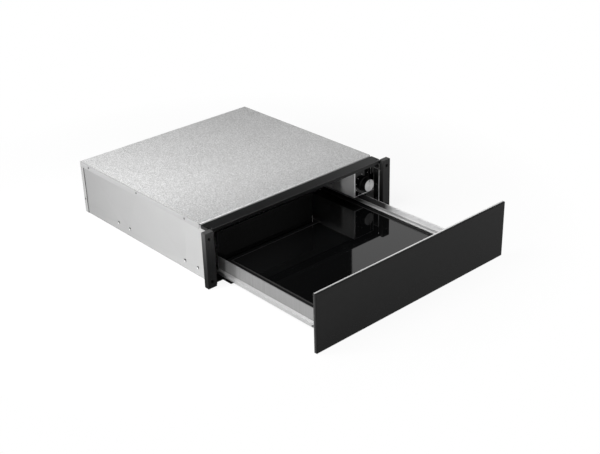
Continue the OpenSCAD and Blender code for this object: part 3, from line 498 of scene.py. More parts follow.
# Rubber: dull with a bloom
def rubberFinish(name, level):
    finish = Finish(name)
    bloom = finish.noise(rubber["bloom"], 5.0)
    return finish.surface({
        "Base Color": finish.blend(bloom, tone(level), tone(level + rubber["bloomTone"])),
        "Roughness": rubber["gloss"] + bloom * 0.2,
        "Normal": finish.bump(finish.noise(rubber["grain"], 2.0), rubber["depth"], 0.5)})


spinning = {"ringScale": 2600.0, "sheenStart": 0.6, "drawn": 0.4, "depth": 0.01}


# Metal turned on a lathe: rings about an axis along Y through a centre in millimetres, with a share of
# painted sheen
def spunFinish(name, light, dark, centre, gloss, paintedSheenShare=0.0):
    finish = Finish(name)
    where = finish.add("ShaderNodeTexCoord")["Object"]
    offset = finish.add("ShaderNodeVectorMath", {"operation": "SUBTRACT"}, {
        0: where, 1: tuple(value * mm for value in centre)})["Vector"]
    parts = finish.add("ShaderNodeSeparateXYZ", None, {"Vector": offset})
    across, upward = parts["X"], parts["Z"]
    radius = (across * across + upward * upward) ** 0.5
    rings = finish.add("ShaderNodeTexNoise", {"noise_dimensions": "1D"}, {
        "W": radius, "Scale": spinning["ringScale"], "Detail": 3.0})["Fac"]
    angle = finish.sum("ARCTAN2", upward, across)
    # Painted sheen of a spun disc: bright and dark sectors, two of each
    paintedSheen = finish.sum("COSINE", angle * 2 + spinning["sheenStart"])
    share = rings * (1 - paintedSheenShare) + (paintedSheen * 0.5 + 0.5) * paintedSheenShare
    return finish.surface({
        "Base Color": finish.blend(share, tone(dark), tone(light)),
        "Metallic": 1.0,
        "Roughness": gloss + rings * 0.12,
        "Anisotropic": spinning["drawn"],
        "Normal": finish.bump(rings, spinning["depth"], 0.6)})


sheath = {
    "drift": 26,
    "driftLength": 0.6,
    "stops": ((0.3, 104, 6), (0.5, 112, 24), (0.62, 92, 10), (0.75, 84, -16)),
    "grain": 0.6,
    "depth": 0.02,
}


# Heater sheath: steel with straw and blue heat tints; its stops are (place, grey, warmth)
def heatedFinish(name):
    finish = Finish(name)
    drift = finish.noise(sheath["drift"], 3.0, (1, sheath["driftLength"], 1))
    stops = [(place, tone(level, warmth)) for place, level, warmth in sheath["stops"]]
    return finish.surface({
        "Base Color": finish.add("ShaderNodeValToRGB", {"stops": stops}, {"Fac": drift})["Color"],
        "Metallic": 0.9,
        "Roughness": 0.4 + drift * 0.2,
        "Normal": finish.bump(finish.noise(sheath["grain"], 3.0), sheath["depth"], 0.6)})


metalDrift = {"share": 0.78, "grain": 6, "depth": 0.02}


# Plain metal of any colour, with drifts of a size
def metalFinish(name, colour, metallic, gloss, size):
    finish = Finish(name)
    drift = finish.noise(size, 4.0)
    dark = tuple(channel * metalDrift["share"] for channel in colour[:3]) + (1.0,)
    return finish.surface({
        "Base Color": finish.blend(drift, dark, colour),
        "Metallic": metallic,
        "Roughness": gloss + drift * 0.12,
        "Normal": finish.bump(finish.noise(size / metalDrift["grain"], 3.0), metalDrift["depth"], 0.5)})


def knobCentre():
    low, high = corners("knob_cap")
    return tuple((low + high) / 2)


# Finishes by material slot
finishes = {
    "galvanised": galvanisedFinish("galvanised"),
    "side_sheet": sheetFinish("side_sheet", light=168, dark=152, gloss=0.36),
    "black_frame": powderFinish("black_frame", level=12, gloss=0.3, peel=0.7, shine=0.2),
    # The front glass gets painted light: its top makes it lighter towards its upper edge
    "front_glass": blackGlassFinish("front_glass", level=8, gloss=0.02, index=1.45, shine=0.11, top=44),
    "front_rim": brushedFinish("front_rim", light=232, dark=210, along="x", gloss=0.22, metal=0.6,
                               coats=rimCoats),
    "brushed_steel": brushedFinish("brushed_steel", light=206, dark=178, along="y", gloss=0.36),
    "rail_steel": rollerSteelFinish("rail_steel", light=196, dark=168, gloss=0.3),
    "rail_dark": rollerSteelFinish("rail_dark", light=40, dark=26, gloss=0.3),
    "ball_steel": rollerSteelFinish("ball_steel", light=228, dark=210, gloss=0.06),
    "base_glass": blackGlassFinish("base_glass", level=7, gloss=0.012, index=1.41),
    "black_trim": powderFinish("black_trim", level=9, gloss=0.3, peel=0.6, shine=0.1),
    "seal": rubberFinish("seal", level=16),
    "black_gloss": glossPaintFinish("black_gloss", level=7, gloss=0.07, shine=0.16),
    "back_wall": glossPaintFinish("back_wall", level=8, gloss=0.12, shine=0.3),
    "knob_black": plasticFinish("knob_black", level=9, gloss=0.32, grain=0.3, shine=0.2),
    "knob_metal": spunFinish("knob_metal", light=180, dark=146, centre=knobCentre(), gloss=0.26,
                             paintedSheenShare=0.5),
    "lens": glossPaintFinish("lens", level=14, gloss=0.06),
    "screw_steel": metalFinish("screw_steel", tone(110), metallic=0.9, gloss=0.28, size=3),
    "motor_metal": rollerSteelFinish("motor_metal", light=176, dark=150, gloss=0.36),
    "fan_metal": sheetFinish("fan_metal", light=208, dark=188, gloss=0.28, metal=0.7),
    "heater": heatedFinish("heater"),
    "brass": metalFinish("brass", (0.62, 0.45, 0.18, 1.0), metallic=1.0, gloss=0.26, size=6),
    "cream_plastic": plasticFinish("cream_plastic", level=214, gloss=0.36, warmth=9),
    "black_plastic": plasticFinish("black_plastic", level=26, gloss=0.42),
    "plunger": plasticFinish("plunger", level=222, gloss=0.3, warmth=2),
}

# Finishes of single pieces, each within its node's slot; ends set a painted light gradient, in the order
# darker, lighter
special = {
    "top_plate": galvanisedFinish("top_zinc", plateShadePaint),
    "rear_plate": galvanisedFinish("rear_zinc", rearShadePaint),
    # The left wall gets painted light: its ends make it lighter towards its front
    "left_side_wall": sheetFinish("left_wall_sheet", light=162, dark=124, gloss=0.36, ends=(268, -268)),
    "front_top_bar": powderFinish("bar_powder", level=12, gloss=0.3, peel=0.7, shine=0.2, paintedHighlight=foldHighlightMask),
    # Both posts get painted light: lighter towards the top, and each post in its own grey as it is lit
    "left_front_post": powderFinish("left_post_painted_light", level=6, gloss=0.3, peel=0.7, shine=0.06, top=66),
    "right_front_post": powderFinish("right_post_painted_light", level=8, gloss=0.3, peel=0.7, shine=0.14, top=54),
    # The tray sides are one steel in two greys: painted shade on the left, lighter towards its front by its
    # ends, and painted light on the right
    "left_tray_side": brushedFinish("left_side_steel_shaded", light=150, dark=88, along="z", gloss=0.38,
                                    ends=(-300, -640)),
    "right_tray_side": brushedFinish("right_side_steel_lit", light=242, dark=224, along="y", gloss=0.36,
                                     metal=0.2, coats=trayRearShadowCoats),
    "tray_floor": brushedFinish("floor_steel", light=182, dark=166, along="y", gloss=0.36, metal=0.15,
                                coats=floorEnamelAndShadeCoats),
    "control_box": sheetFinish("box_sheet", light=214, dark=204, gloss=0.4, metal=0.0),
    "left_rail_brackets": brushedFinish("left_bracket_steel", light=214, dark=196, along="z", gloss=0.36,
                                        coats=bracketBlackAndShadeCoats),
    "right_rail_brackets": brushedFinish("right_bracket_steel", light=214, dark=196, along="z", gloss=0.36,
                                         coats=bracketBlackAndShadeCoats),
}
# Near-white sheet for painted highlights on folded edges
edgeHighlightFinish = sheetFinish("edge_highlight_sheet", light=248, dark=240, gloss=0.3, metal=0.45)
flangeFinish = brushedFinish("flange_steel", light=156, dark=142, along="y", gloss=0.34)
printFinish = plasticFinish("print_grey", level=196, gloss=0.5)
markFinish = plasticFinish("mark_black", level=12, gloss=0.4)
print("finishes made:", len(finishes))


# Mesh helpers, all lengths in millimetres

# Names a shape as a piece that rides on a body and stands for the nodes given
# A copy of a CAD node has its faces the right way round already
def addPiece(name, shape, body, finish, replaced=(), smoothAngle=35, isCopy=False):
    if not isCopy:
        bmesh.ops.recalc_face_normals(shape, faces=shape.faces)
    mesh = bpy.data.meshes.new(name)
    shape.to_mesh(mesh)
    shape.free()
    mesh.transform(Matrix.Diagonal((mm, mm, mm, 1)))
    mesh.shade_smooth()
    mesh.set_sharp_from_angle(angle=math.radians(smoothAngle))
    mesh.materials.append(finish)
    piece = bpy.data.objects.new(name, mesh)
    scene.collection.objects.link(piece)
    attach(piece, body)
    if replaced:
        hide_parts(*replaced)
    return piece


# Piece that stands for one CAD node
def addMade(node, shape, smoothAngle, isCopy=False):
    slotName = slotOf[node]
    finish = special.get(node) or finishes[slotName]
    return addPiece(node + "_made", shape, bodyOf[node], finish, (node,), smoothAngle, isCopy)


# Ring of points joined to the ring before it
def bridge(shape, before, after):
    count = len(before)
    for i in range(count):
        j = (i + 1) % count
        shape.faces.new((before[i], before[j], after[j], after[i]))


# Turns (radius, height) pairs about an axis from a centre
def turn(shape, outline, centre, axis, steps):
    aim = Vector((0, 0, 1)).rotation_difference(Vector(axis)).to_matrix()
    rings = []
    for radius, height in outline:
        if radius == 0:
            rings.append([shape.verts.new(Vector(centre) + aim @ Vector((0, 0, height)))])
            continue
        ring = []
        for i in range(steps):
            angle = 2 * math.pi * i / steps
            point = Vector((radius * math.cos(angle), radius * math.sin(angle), height))
            ring.append(shape.verts.new(Vector(centre) + aim @ point))
        rings.append(ring)
    for before, after in zip(rings, rings[1:]):
        if len(before) == 1:
            for i in range(steps):
                shape.faces.new((before[0], after[i], after[(i + 1) % steps]))
        elif len(after) == 1:
            for i in range(steps):
                shape.faces.new((before[i], before[(i + 1) % steps], after[0]))
        else:
            bridge(shape, before, after)


# Rounds the corners of a closed outline: each point is (first, second), with a radius where it is rounded
def eased(outline, steps):
    points = [Vector(point[:2]) for point in outline]
    radii = [point[2] if len(point) > 2 else 0 for point in outline]
    result = []
    for i, (point, radius) in enumerate(zip(points, radii)):
        if radius <= 0:
            result.append(tuple(point))
            continue
        toBefore = (points[i - 1] - point).normalized()
        toAfter = (points[(i + 1) % len(points)] - point).normalized()
        half = toBefore.angle(toAfter) / 2
        centre = point + (toBefore + toAfter).normalized() * radius / math.sin(half)
        start = point + toBefore * radius / math.tan(half) - centre
        end = point + toAfter * radius / math.tan(half) - centre
        swing = start.angle(end)
        for k in range(steps + 1):
            share = k / steps
            weight = math.sin((1 - share) * swing) / math.sin(swing)
            other = math.sin(share * swing) / math.sin(swing)
            result.append(tuple(centre + start * weight + end * other))
    return result


# Straight prism of a flat outline between two places on an axis
def extrude(shape, outline, axis, low, high):
    order = {"y": (0, 2, 1), "z": (0, 1, 2)}[axis]

    def ring(place):
        return [shape.verts.new([(first, second, place)[k] for k in order]) for first, second in outline]

    start, end = ring(low), ring(high)
    bridge(shape, start, end)
    shape.faces.new(start)
    shape.faces.new(list(reversed(end)))


# Distance at which corners merge, and angles in degrees that count as flat and as sharp
rounding = {"merge": 0.002, "flatAngle": 0.4, "sharpAngle": 25}


# Lowest and highest corner of each solid of a CAD node
def solidsOf(node):
    shape = bmesh.new()
    shape.from_mesh(frame["nodes"][node].data)
    bmesh.ops.remove_doubles(shape, verts=shape.verts, dist=rounding["merge"] * mm)
    left = set(shape.verts)
    boxes = []
    while left:
        queue = [left.pop()]
        points = []
        while queue:
            vert = queue.pop()
            points.append(vert.co / mm)
            for edge in vert.link_edges:
                other = edge.other_vert(vert)
                if other in left:
                    left.discard(other)
                    queue.append(other)
        low = Vector(min(point[k] for point in points) for k in range(3))
        high = Vector(max(point[k] for point in points) for k in range(3))
        boxes.append((low, high))
    shape.free()
    return sorted(boxes, key=lambda pair: tuple(round(value, 3) for value in pair[0]))


# Signs of a fold: the gap and the shortest edge are in sheet thicknesses
foldSigns = {"shortest": 2.5, "parallel": 0.9995, "gap": (0.75, 1.75), "overlap": (0.2, 0.8)}


# Marks the folds of a sheet: an outer edge that runs beside an inner one, one thickness away
def findFolds(shape, thickness):
    inner, outer = [], []
    for edge in shape.edges:
        if len(edge.link_faces) != 2 or edge.calc_length() < foldSigns["shortest"] * thickness:
            continue
        if edge.calc_face_angle(0) < math.radians(rounding["sharpAngle"]):
            continue
        (outer if edge.is_convex else inner).append(edge)
    nearest, farthest = (share * thickness for share in foldSigns["gap"])
    folds = {}
    for near in inner:
        start = near.verts[0].co
        line = (near.verts[1].co - start).normalized()
        first, last = (share * near.calc_length() for share in foldSigns["overlap"])
        for far in outer:
            along = (far.verts[1].co - far.verts[0].co).normalized()
            if abs(line.dot(along)) < foldSigns["parallel"]:
                continue
            gap = far.verts[0].co - start
            if not nearest < (gap - line * gap.dot(line)).length < farthest:
                continue
            places = sorted(line.dot(vert.co - start) for vert in far.verts)
            if places[1] < first or places[0] > last:
                continue
            folds[far] = "outer"
            folds[near] = "inner"
    return folds


# Copy of a CAD node with rounded folds and eased edges; joined makes flat faces of its triangles first
def refine(node, ease, thickness=0, bend=0, segments=3, joined=True):
    shape = bmesh.new()
    shape.from_mesh(frame["nodes"][node].data)
    bmesh.ops.transform(shape, matrix=Matrix.Diagonal((1 / mm, 1 / mm, 1 / mm, 1)), verts=shape.verts)
    bmesh.ops.remove_doubles(shape, verts=shape.verts, dist=rounding["merge"])
    if joined:
        bmesh.ops.dissolve_limit(shape, angle_limit=math.radians(rounding["flatAngle"]),
                                 verts=shape.verts, edges=shape.edges)
    folds = findFolds(shape, thickness) if thickness else {}
    radii = {"outer": thickness + bend, "inner": bend}
    widest = max(ease, thickness + bend) if folds else ease
    weights = shape.edges.layers.float.new("bevel_weight_edge")
    for edge in shape.edges:
        if len(edge.link_faces) != 2 or edge.calc_face_angle(0) < math.radians(rounding["sharpAngle"]):
            continue
        radius = radii[folds[edge]] if edge in folds else ease
        edge[weights] = radius / widest
    piece = addMade(node, shape, smoothAngle=30, isCopy=True)
    bevel = piece.modifiers.new("rounding", "BEVEL")
    bevel.limit_method = "WEIGHT"
    bevel.width = widest * mm
    bevel.segments = segments
    bevel.use_clamp_overlap = False
    bevel.harden_normals = True
    bevel.miter_outer = "MITER_ARC"


def refineAll(table):
    for node, folding in table.items():
        refine(node, **folding)


# Casing

thinSheet = {"ease": 0.12, "thickness": 1.0, "bend": 0.5}
bracketSheet = {"ease": 0.12, "thickness": 1.6, "bend": 0.5}
frameSheet = {"ease": 0.12, "thickness": 1.2, "bend": 0.6}
postSheet = {"ease": 0.25, "thickness": 1.6, "bend": 0.6}
casing = {
    "base_pan": thinSheet,
    "top_plate": thinSheet,
    "rear_plate": {"ease": 0.12, "joined": False},
    "left_side_wall": {"ease": 0.12},
    "right_side_wall": {"ease": 0.12},
    "left_rail_brackets": bracketSheet,
    "right_rail_brackets": bracketSheet,
    "front_top_bar": {**frameSheet, "joined": False},
    "bottom_front_rail": frameSheet,
    "left_front_post": postSheet,
    "right_front_post": postSheet,
}
wallEdge = {"behind": 18.0, "width": 3.0, "proud": 0.45, "round": 0.2, "above": 11.0, "below": 27.0}


# Bare folded edges of the casing's walls, seen behind the posts, in a near-white grey that paints the
# highlight on their bends
def addWallEdges():
    shape = bmesh.new()
    for side, name in ((-1, "left"), (1, "right")):
        low, high = corners(name + "_front_post")
        cheek = min(abs(low.x), abs(high.x))
        inner = cheek - wallEdge["proud"]
        rear = high.y - wallEdge["behind"] + wallEdge["width"] / 2
        front = rear - wallEdge["width"]
        outline = [(side * inner, front, wallEdge["round"]), (side * inner, rear, wallEdge["round"]),
                   (side * cheek, rear), (side * cheek, front)]
        extrude(shape, eased(outline, steps=3), "z", low.z + wallEdge["above"], high.z - wallEdge["below"])
    addPiece("wall_edges", shape, "casing", edgeHighlightFinish)


refineAll(casing)
addWallEdges()
print("casing made")


# Screws and rivets: radii are shares of the head's radius

screwHead = {
    "height": 1.5,
    "profileShares": ((1, 0), (1, 0.35), (0.96, 0.62), (0.86, 0.84), (0.7, 1)),
    "arm": 0.56,
    "slot": 0.13,
    "recessShare": 0.55,
    "recessFloor": 0.72,
    "steps": 24,
}
screwShank = {"radius": 0.54, "point": 0.3, "pointLength": 0.6, "sunk": 0.02, "shortest": 0.5, "steps": 16}


# Pan head with a cross recess, standing out from its seat along an axis
def addScrewHead(shape, seat, axis, radius, height):
    aim = Vector((0, 0, 1)).rotation_difference(Vector(axis)).to_matrix()
    arm, slot, steps = screwHead["arm"] * radius, screwHead["slot"] * radius, screwHead["steps"]

    def place(point):
        return shape.verts.new(Vector(seat) + aim @ Vector(point))

    def circle(r, z):
        return [place((r * math.cos(2 * math.pi * i / steps), r * math.sin(2 * math.pi * i / steps), z))
                for i in range(steps)]

    def cross(scale, z):
        outline = []
        for quarter in range(4):
            turned = Matrix.Rotation(quarter * math.pi / 2, 2)
            for point in ((arm, -slot), (arm, slot), (slot, slot)):
                flat = turned @ Vector(point) * scale
                outline.append(place((flat.x, flat.y, z)))
        return outline

    rings = [circle(share * radius, rise * height) for share, rise in screwHead["profileShares"]]
    for before, after in zip(rings, rings[1:]):
        bridge(shape, before, after)
    shape.faces.new(list(reversed(rings[0])))
    mouth = cross(1.0, height)
    floor = cross(screwHead["recessFloor"], height - screwHead["recessShare"] * height)
    bridge(shape, floor, mouth)
    shape.faces.new(floor)
    edges = []
    for loop in (rings[-1], mouth):
        edges += [shape.edges.get((loop[i], loop[(i + 1) % len(loop)])) for i in range(len(loop))]
    bmesh.ops.triangle_fill(shape, use_beauty=True, edges=edges)


# Screws along an axis, their heads on its high side
# Mirrored ones have their heads on the side away from the part's middle
def makeScrews(node, axisName, mirrored=False):
    axisAt = "xyz".index(axisName)
    acrossAt = 1 if axisAt == 0 else 0
    shape = bmesh.new()
    for low, high in solidsOf(node):
        side = -1 if mirrored and low.x < 0 else 1
        radius = (high[acrossAt] - low[acrossAt]) / 2
        span = high[axisAt] - low[axisAt]
        height = min(screwHead["height"], span)
        axis = Vector((0, 0, 0))
        axis[axisAt] = side
        tip = high[axisAt] if side > 0 else low[axisAt]
        seat = (low + high) / 2
        seat[axisAt] = tip - side * height
        addScrewHead(shape, seat, axis, radius, height)
        length = span - height
        if length > screwShank["shortest"]:
            shank = screwShank["radius"] * radius
            outline = [(0, screwShank["sunk"]), (shank, screwShank["sunk"]),
                       (shank, screwShank["pointLength"] - length), (screwShank["point"] * radius, -length),
                       (0, -length)]
            turn(shape, outline, seat, axis, screwShank["steps"])
    addMade(node, shape, smoothAngle=40)


# Rivets or buttons, one for each solid of a node
def makeRivets(node, addRivet):
    shape = bmesh.new()
    for low, high in solidsOf(node):
        addRivet(shape, low, high)
    addMade(node, shape, smoothAngle=50)


rivet = {
    "dome": ((0, 0), (0.45, 0.04), (0.82, 0.32), (1, 1.0)),
    "shank": 0.53,
    "tail": ((1, 1.0), (0.95, 0.3), (0.6, 0), (0.3, 0), (0.22, 0.5), (0, 0.5)),
    "steps": 24,
}


# Closed rivet along X: a domed head outside and a flatter one inside
def addPostRivet(shape, low, high):
    centre = (low + high) / 2
    radius = (high.z - low.z) / 2
    length = high.x - low.x
    shank = rivet["shank"] * radius
    outline = [(share * radius, height) for share, height in rivet["dome"]]
    outline += [(shank, rivet["dome"][-1][1]), (shank, length - rivet["tail"][0][1])]
    outline += [(share * radius, length - height) for share, height in rivet["tail"]]
    side = 1 if low.x < 0 else -1
    start = Vector((low.x if side > 0 else high.x, centre.y, centre.z))
    turn(shape, outline, start, (side, 0, 0), rivet["steps"])


button = {
    "stem": 0.85,
    "dome": ((0.88, -0.5), (1, -0.5), (0.95, -0.2), (0.6, -0.04), (0, 0)),
    "steps": 24,
}


# Pressed button on the top bar, domed
def addBarButton(shape, low, high):
    centre = (low + high) / 2
    radius = (high.x - low.x) / 2
    foot = low.z - high.z
    outline = [(0, foot), (button["stem"] * radius, foot)]
    outline += [(share * radius, height) for share, height in button["dome"]]
    turn(shape, outline, (centre.x, centre.y, high.z), (0, 0, 1), button["steps"])


makeScrews("casing_screws", "x", mirrored=True)
makeRivets("post_rivets", addPostRivet)
makeRivets("bar_screws", addBarButton)
makeScrews("front_screws", "y")
makeScrews("motor_screws", "x")
refine("rail_screws", ease=0.3)
print("screws and rivets made")


# Slides

slides = {
    "casing_rail": {"ease": 0.8, "segments": 4},
    "middle_rail": {"ease": 0.15, "thickness": 1.0, "bend": 0.7, "segments": 4},
    "drawer_rail": {"ease": 0.15, "thickness": 1.2, "bend": 0.8, "segments": 4},
}
railFoot = {"width": 9.6, "inside": 0.4, "thickness": 0.8, "length": 62.0, "corner": 2.5}


# Dark foot plate under the front end of each middle rail
def addRailFeet():
    shape = bmesh.new()
    for side, name in ((-1, "left"), (1, "right")):
        low, high = corners(name + "_middle_rail")
        flank = (low.x if side < 0 else high.x) - side * railFoot["inside"]
        edge = flank + side * railFoot["width"]
        rear = low.y + railFoot["length"]
        outline = [(flank, low.y), (edge, low.y, railFoot["corner"]), (edge, rear, railFoot["corner"]),
                   (flank, rear)]
        extrude(shape, eased(outline, steps=4), "z", low.z, low.z + railFoot["thickness"])
    addPiece("rail_feet", shape, bodyOf["left_middle_rail"], finishes["rail_dark"])


for side in ("left", "right"):
    refineAll({side + "_" + rail: folding for rail, folding in slides.items()})
addRailFeet()
print("slides made")


# Tray and front

traySheet = {"ease": 0.15, "thickness": 1.2, "bend": 0.6, "segments": 4}
drawer = {
    "front_glass": {"ease": 0.7, "segments": 4},
    "front_frame": {"ease": 0.3},
    "left_tray_side": traySheet,
    "right_tray_side": traySheet,
    "tray_floor": {**traySheet, "thickness": 1.0},
    "tray_back_wall": traySheet,
    "tray_bay_wall": traySheet,
    "base_frame": {"ease": 0.3, "thickness": 1.2, "bend": 0.5},
    "base_seal": {"ease": 0.4},
    "base_glass": {"ease": 0.6, "segments": 4},
}
flange = {"rise": 3.2, "lip": 0.5, "round": 0.4, "endGap": 2.0}


# Sloping flange at the foot of each tray side, which covers the top of its rail
def addFlanges():
    shape = bmesh.new()
    for at, name in ((0, "left"), (1, "right")):
        wall = corners(name + "_tray_side")
        inner = wall[at].x
        outer = corners(name + "_drawer_rail")[at].x
        foot = wall[0].z
        outline = [(inner, foot), (outer, foot), (outer, foot + flange["lip"], flange["round"]),
                   (inner, foot + flange["rise"])]
        extrude(shape, eased(outline, steps=3), "y", wall[0].y + flange["endGap"], wall[1].y)
    addPiece("tray_flanges", shape, "drawer", flangeFinish)


refineAll(drawer)
addFlanges()
print("drawer made")


# Controls

controls = {
    "control_box": {"ease": 0.12, "thickness": 1.0, "bend": 0.6, "segments": 4},
    "control_fascia": {"ease": 0.4},
    "indicator_lens": {"ease": 0.15},
    "thermostat": {"ease": 0.4},
    "knob": {"ease": 0.5, "segments": 4},
    "knob_cap": {"ease": 0.25},
}
printHeight = 0.08


# Flat outline on a plate that faces the front
def addPrint(shape, outline, front, height):
    near = [shape.verts.new((x, front - height, z)) for x, z in outline]
    far = [shape.verts.new((x, front, z)) for x, z in outline]
    bridge(shape, near, far)
    shape.faces.new(near)
    shape.faces.new(list(reversed(far)))


def rectangle(x0, x1, z0, z1):
    return [(x0, z0), (x1, z0), (x1, z1), (x0, z1)]


dial = {"radius": 29.5, "strokeLength": 3.6, "strokeWidth": 1.5, "round": 0.5,
        "angles": (68, 106, 138, 168, 200, 230)}


# Strokes round the knob, in place of symbols
def addDial():
    centre = knobCentre()
    front = corners("control_fascia")[0].y
    shape = bmesh.new()
    for degrees in dial["angles"]:
        angle = math.radians(degrees)
        out = Vector((math.cos(angle), math.sin(angle)))
        side = Vector((-out.y, out.x)) * dial["strokeWidth"] / 2
        start = Vector((centre[0], centre[2])) + out * (dial["radius"] - dial["strokeLength"] / 2)
        end = start + out * dial["strokeLength"]
        ends = (start - side, end - side, end + side, start + side)
        outline = [(*corner, dial["round"]) for corner in ends]
        addPrint(shape, eased(outline, steps=3), front, printHeight)
    addPiece("dial_strokes", shape, "casing", printFinish)


windowLine = {"width": 0.9, "inside": 2.2, "beside": 1.6, "short": 2.0}


# Light lines at both sides of the indicator window
def addWindowLines():
    low, high = corners("indicator_lens")
    fascia = corners("control_fascia")[0].y
    shape = bmesh.new()
    bottom, top = low.z + windowLine["short"], high.z - windowLine["short"]
    for x, front in ((low.x + windowLine["inside"], low.y), (high.x + windowLine["beside"], fascia)):
        addPrint(shape, rectangle(x, x + windowLine["width"], bottom, top), front, printHeight)
    addPiece("window_lines", shape, "casing", printFinish)


boxEdge = {"width": 3.6, "sill": 2.2, "proud": 0.25, "round": 0.4, "innerRound": 0.5}


# Folded edge of the control box, at its left and along its foot, in a near-white grey that paints the
# highlight on it
def addBoxEdge():
    low, high = corners("control_box")
    shape = bmesh.new()
    inner = low.x + boxEdge["width"]
    sill = low.z + boxEdge["sill"]
    outline = [(low.x, low.z, boxEdge["round"]), (high.x, low.z), (high.x, sill),
               (inner, sill, boxEdge["innerRound"]), (inner, high.z), (low.x, high.z)]
    addPrint(shape, eased(outline, steps=4), low.y, boxEdge["proud"])
    addPiece("control_box_edge", shape, "casing", edgeHighlightFinish)


indexMark = {"width": 1.9, "length": 5.4, "inset": 1.6}


# Ink in the knob cap's index groove
def addMark():
    low, high = corners("knob_cap")
    middle = knobCentre()[0]
    top = high.z - indexMark["inset"]
    half = indexMark["width"] / 2
    outline = rectangle(middle - half, middle + half, top - indexMark["length"], top)
    shape = bmesh.new()
    addPrint(shape, outline, low.y, printHeight)
    addPiece("index_mark", shape, "knob", markFinish)


refineAll(controls)
addDial()
addWindowLines()
addBoxEdge()
addMark()
print("controls made")


# Finishes of the CAD nodes that stay as they are
for node, item in frame["nodes"].items():
    if item.hide_render:
        continue
    if not item.material_slots:
        item.data.materials.append(finishes[slotOf[node]])
    for slot in item.material_slots:
        slot.material = finishes[slotOf[node]]
print("kept nodes finished")


# Floor, world and lamps: lengths in metres

studio = {
    "floorSize": 14.0,
    "floorBelow": 0.0005,
    "floorTone": 244,
    "floorDrift": 3,
    "floorGrain": 0.4,
    "nearGlow": 0.9,
    "nearRadius": 0.4,
    "farRadius": 0.9,
    "skyLight": 0.1,
}

# Black flags by the direction in which they stand, in degrees from +Y towards +X
flags = {"rearFlag": (-30.0, 44.0), "frontFlag": (92.0, 138.2)}
flagShape = {"distance": 4.0, "height": 5.0, "tone": 24, "drift": 6, "grain": 0.03, "aim": (0.1, -0.4)}

# Lamps by azimuth from -Y towards +X, elevation, distance, size and power
lamps = {
    "topLamp": {"azimuth": -72, "elevation": 62, "distance": 1.25, "size": 0.8, "power": 14.5},
    "sideLamp": {"azimuth": -99, "elevation": 25, "distance": 1.5, "size": 0.25, "power": 14.5},
    "lowLamp": {"azimuth": -62, "elevation": 1.6, "distance": 1.2, "size": 0.1, "power": 3.2},
}


# A stage piece from its corner points
def addStage(name, material, points):
    mesh = bpy.data.meshes.new(name)
    mesh.from_pydata(points, [], [tuple(range(len(points)))])
    mesh.materials.append(material)
    item = bpy.data.objects.new(name, mesh)
    scene.collection.objects.link(item)
    return item


# Rays that see the plain white background: the camera's, and those that metal and glass send out
def seenRays(finish):
    rays = finish.add("ShaderNodeLightPath")
    seen = rays["Is Camera Ray"]
    for other in ("Is Glossy Ray", "Is Transmission Ray"):
        seen = finish.sum("MAXIMUM", seen, rays[other])
    return seen


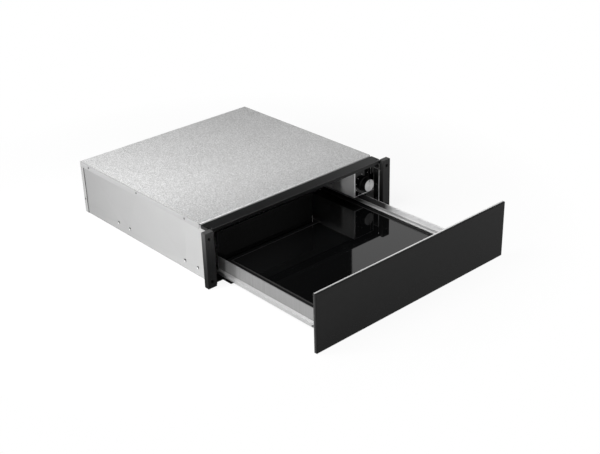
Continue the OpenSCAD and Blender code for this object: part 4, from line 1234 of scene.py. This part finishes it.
# White paper that glows for the rays that see it, a little less near the part, where it keeps the shadow
def addFloor():
    finish = Finish("floor")
    pale = tone(studio["floorTone"] + studio["floorDrift"])
    paper = finish.blend(finish.noise(studio["floorGrain"] / mm), tone(studio["floorTone"]), pale)
    matt = finish.add("ShaderNodeBsdfDiffuse", None, {"Color": paper})["BSDF"]
    glow = finish.add("ShaderNodeEmission", None, {"Color": (1, 1, 1, 1), "Strength": 1.0})["Emission"]
    where = finish.add("ShaderNodeTexCoord")["Object"]
    away = finish.add("ShaderNodeVectorMath", {"operation": "LENGTH"}, {0: where})["Value"]
    spread = studio["farRadius"] - studio["nearRadius"]
    far = finish.add("ShaderNodeClamp", None, {"Value": (away - studio["nearRadius"]) / spread})["Result"]
    share = seenRays(finish) * (studio["nearGlow"] + far * (1 - studio["nearGlow"]))
    mixed = finish.add("ShaderNodeMixShader", None, {0: share, 1: matt, 2: glow})["Shader"]
    finish.add("ShaderNodeOutputMaterial", None, {"Surface": mixed})
    half = studio["floorSize"] / 2
    level = -studio["floorBelow"]
    addStage("floor", finish.material, [(-half, -half, level), (half, -half, level),
                                        (half, half, level), (-half, half, level)])


# Black flag by the part, seen only in reflections, as in a studio
def addFlag(name, start, end):
    finish = Finish(name)
    pale = tone(flagShape["tone"] + flagShape["drift"])
    cloth = finish.blend(finish.noise(flagShape["grain"] / mm, 2.0), tone(flagShape["tone"]), pale)
    dull = finish.add("ShaderNodeEmission", None, {"Color": cloth, "Strength": 1.0})["Emission"]
    finish.add("ShaderNodeOutputMaterial", None, {"Surface": dull})
    feet = []
    for azimuth in (start, end):
        angle = math.radians(azimuth)
        feet.append((flagShape["aim"][0] + flagShape["distance"] * math.sin(angle),
                     flagShape["aim"][1] + flagShape["distance"] * math.cos(angle)))
    top = flagShape["height"]
    flag = addStage(name, finish.material, [(*feet[0], 0), (*feet[1], 0), (*feet[1], top), (*feet[0], top)])
    flag.visible_camera = False
    flag.visible_diffuse = False
    flag.visible_shadow = False
    flag.visible_transmission = False


def addWorld():
    world = bpy.data.worlds.new("studio")
    scene.world = world
    sky = Finish("studio", world)
    seen = seenRays(sky)
    light = sky.add("ShaderNodeBackground", None, {
        "Color": (1, 1, 1, 1), "Strength": seen + (1 - seen) * studio["skyLight"]})["Background"]
    sky.add("ShaderNodeOutputWorld", None, {"Surface": light})


def addLamp(name, azimuth, elevation, distance, size, power):
    lamp = bpy.data.lights.new(name, "AREA")
    lamp.shape = "DISK"
    lamp.size = size
    lamp.energy = power
    item = bpy.data.objects.new(name, lamp)
    scene.collection.objects.link(item)
    a, e = math.radians(azimuth), math.radians(elevation)
    back = Vector((math.sin(a) * math.cos(e), -math.cos(a) * math.cos(e), math.sin(e)))
    item.location = back * distance
    item.rotation_mode = "QUATERNION"
    item.rotation_quaternion = (-back).to_track_quat("-Z", "Y")
    item.visible_camera = False


addFloor()
for name, (start, end) in flags.items():
    addFlag(name, start, end)
addWorld()
for name, values in lamps.items():
    addLamp(name, **values)
scene.view_settings.view_transform = "Standard"
print("studio lit")
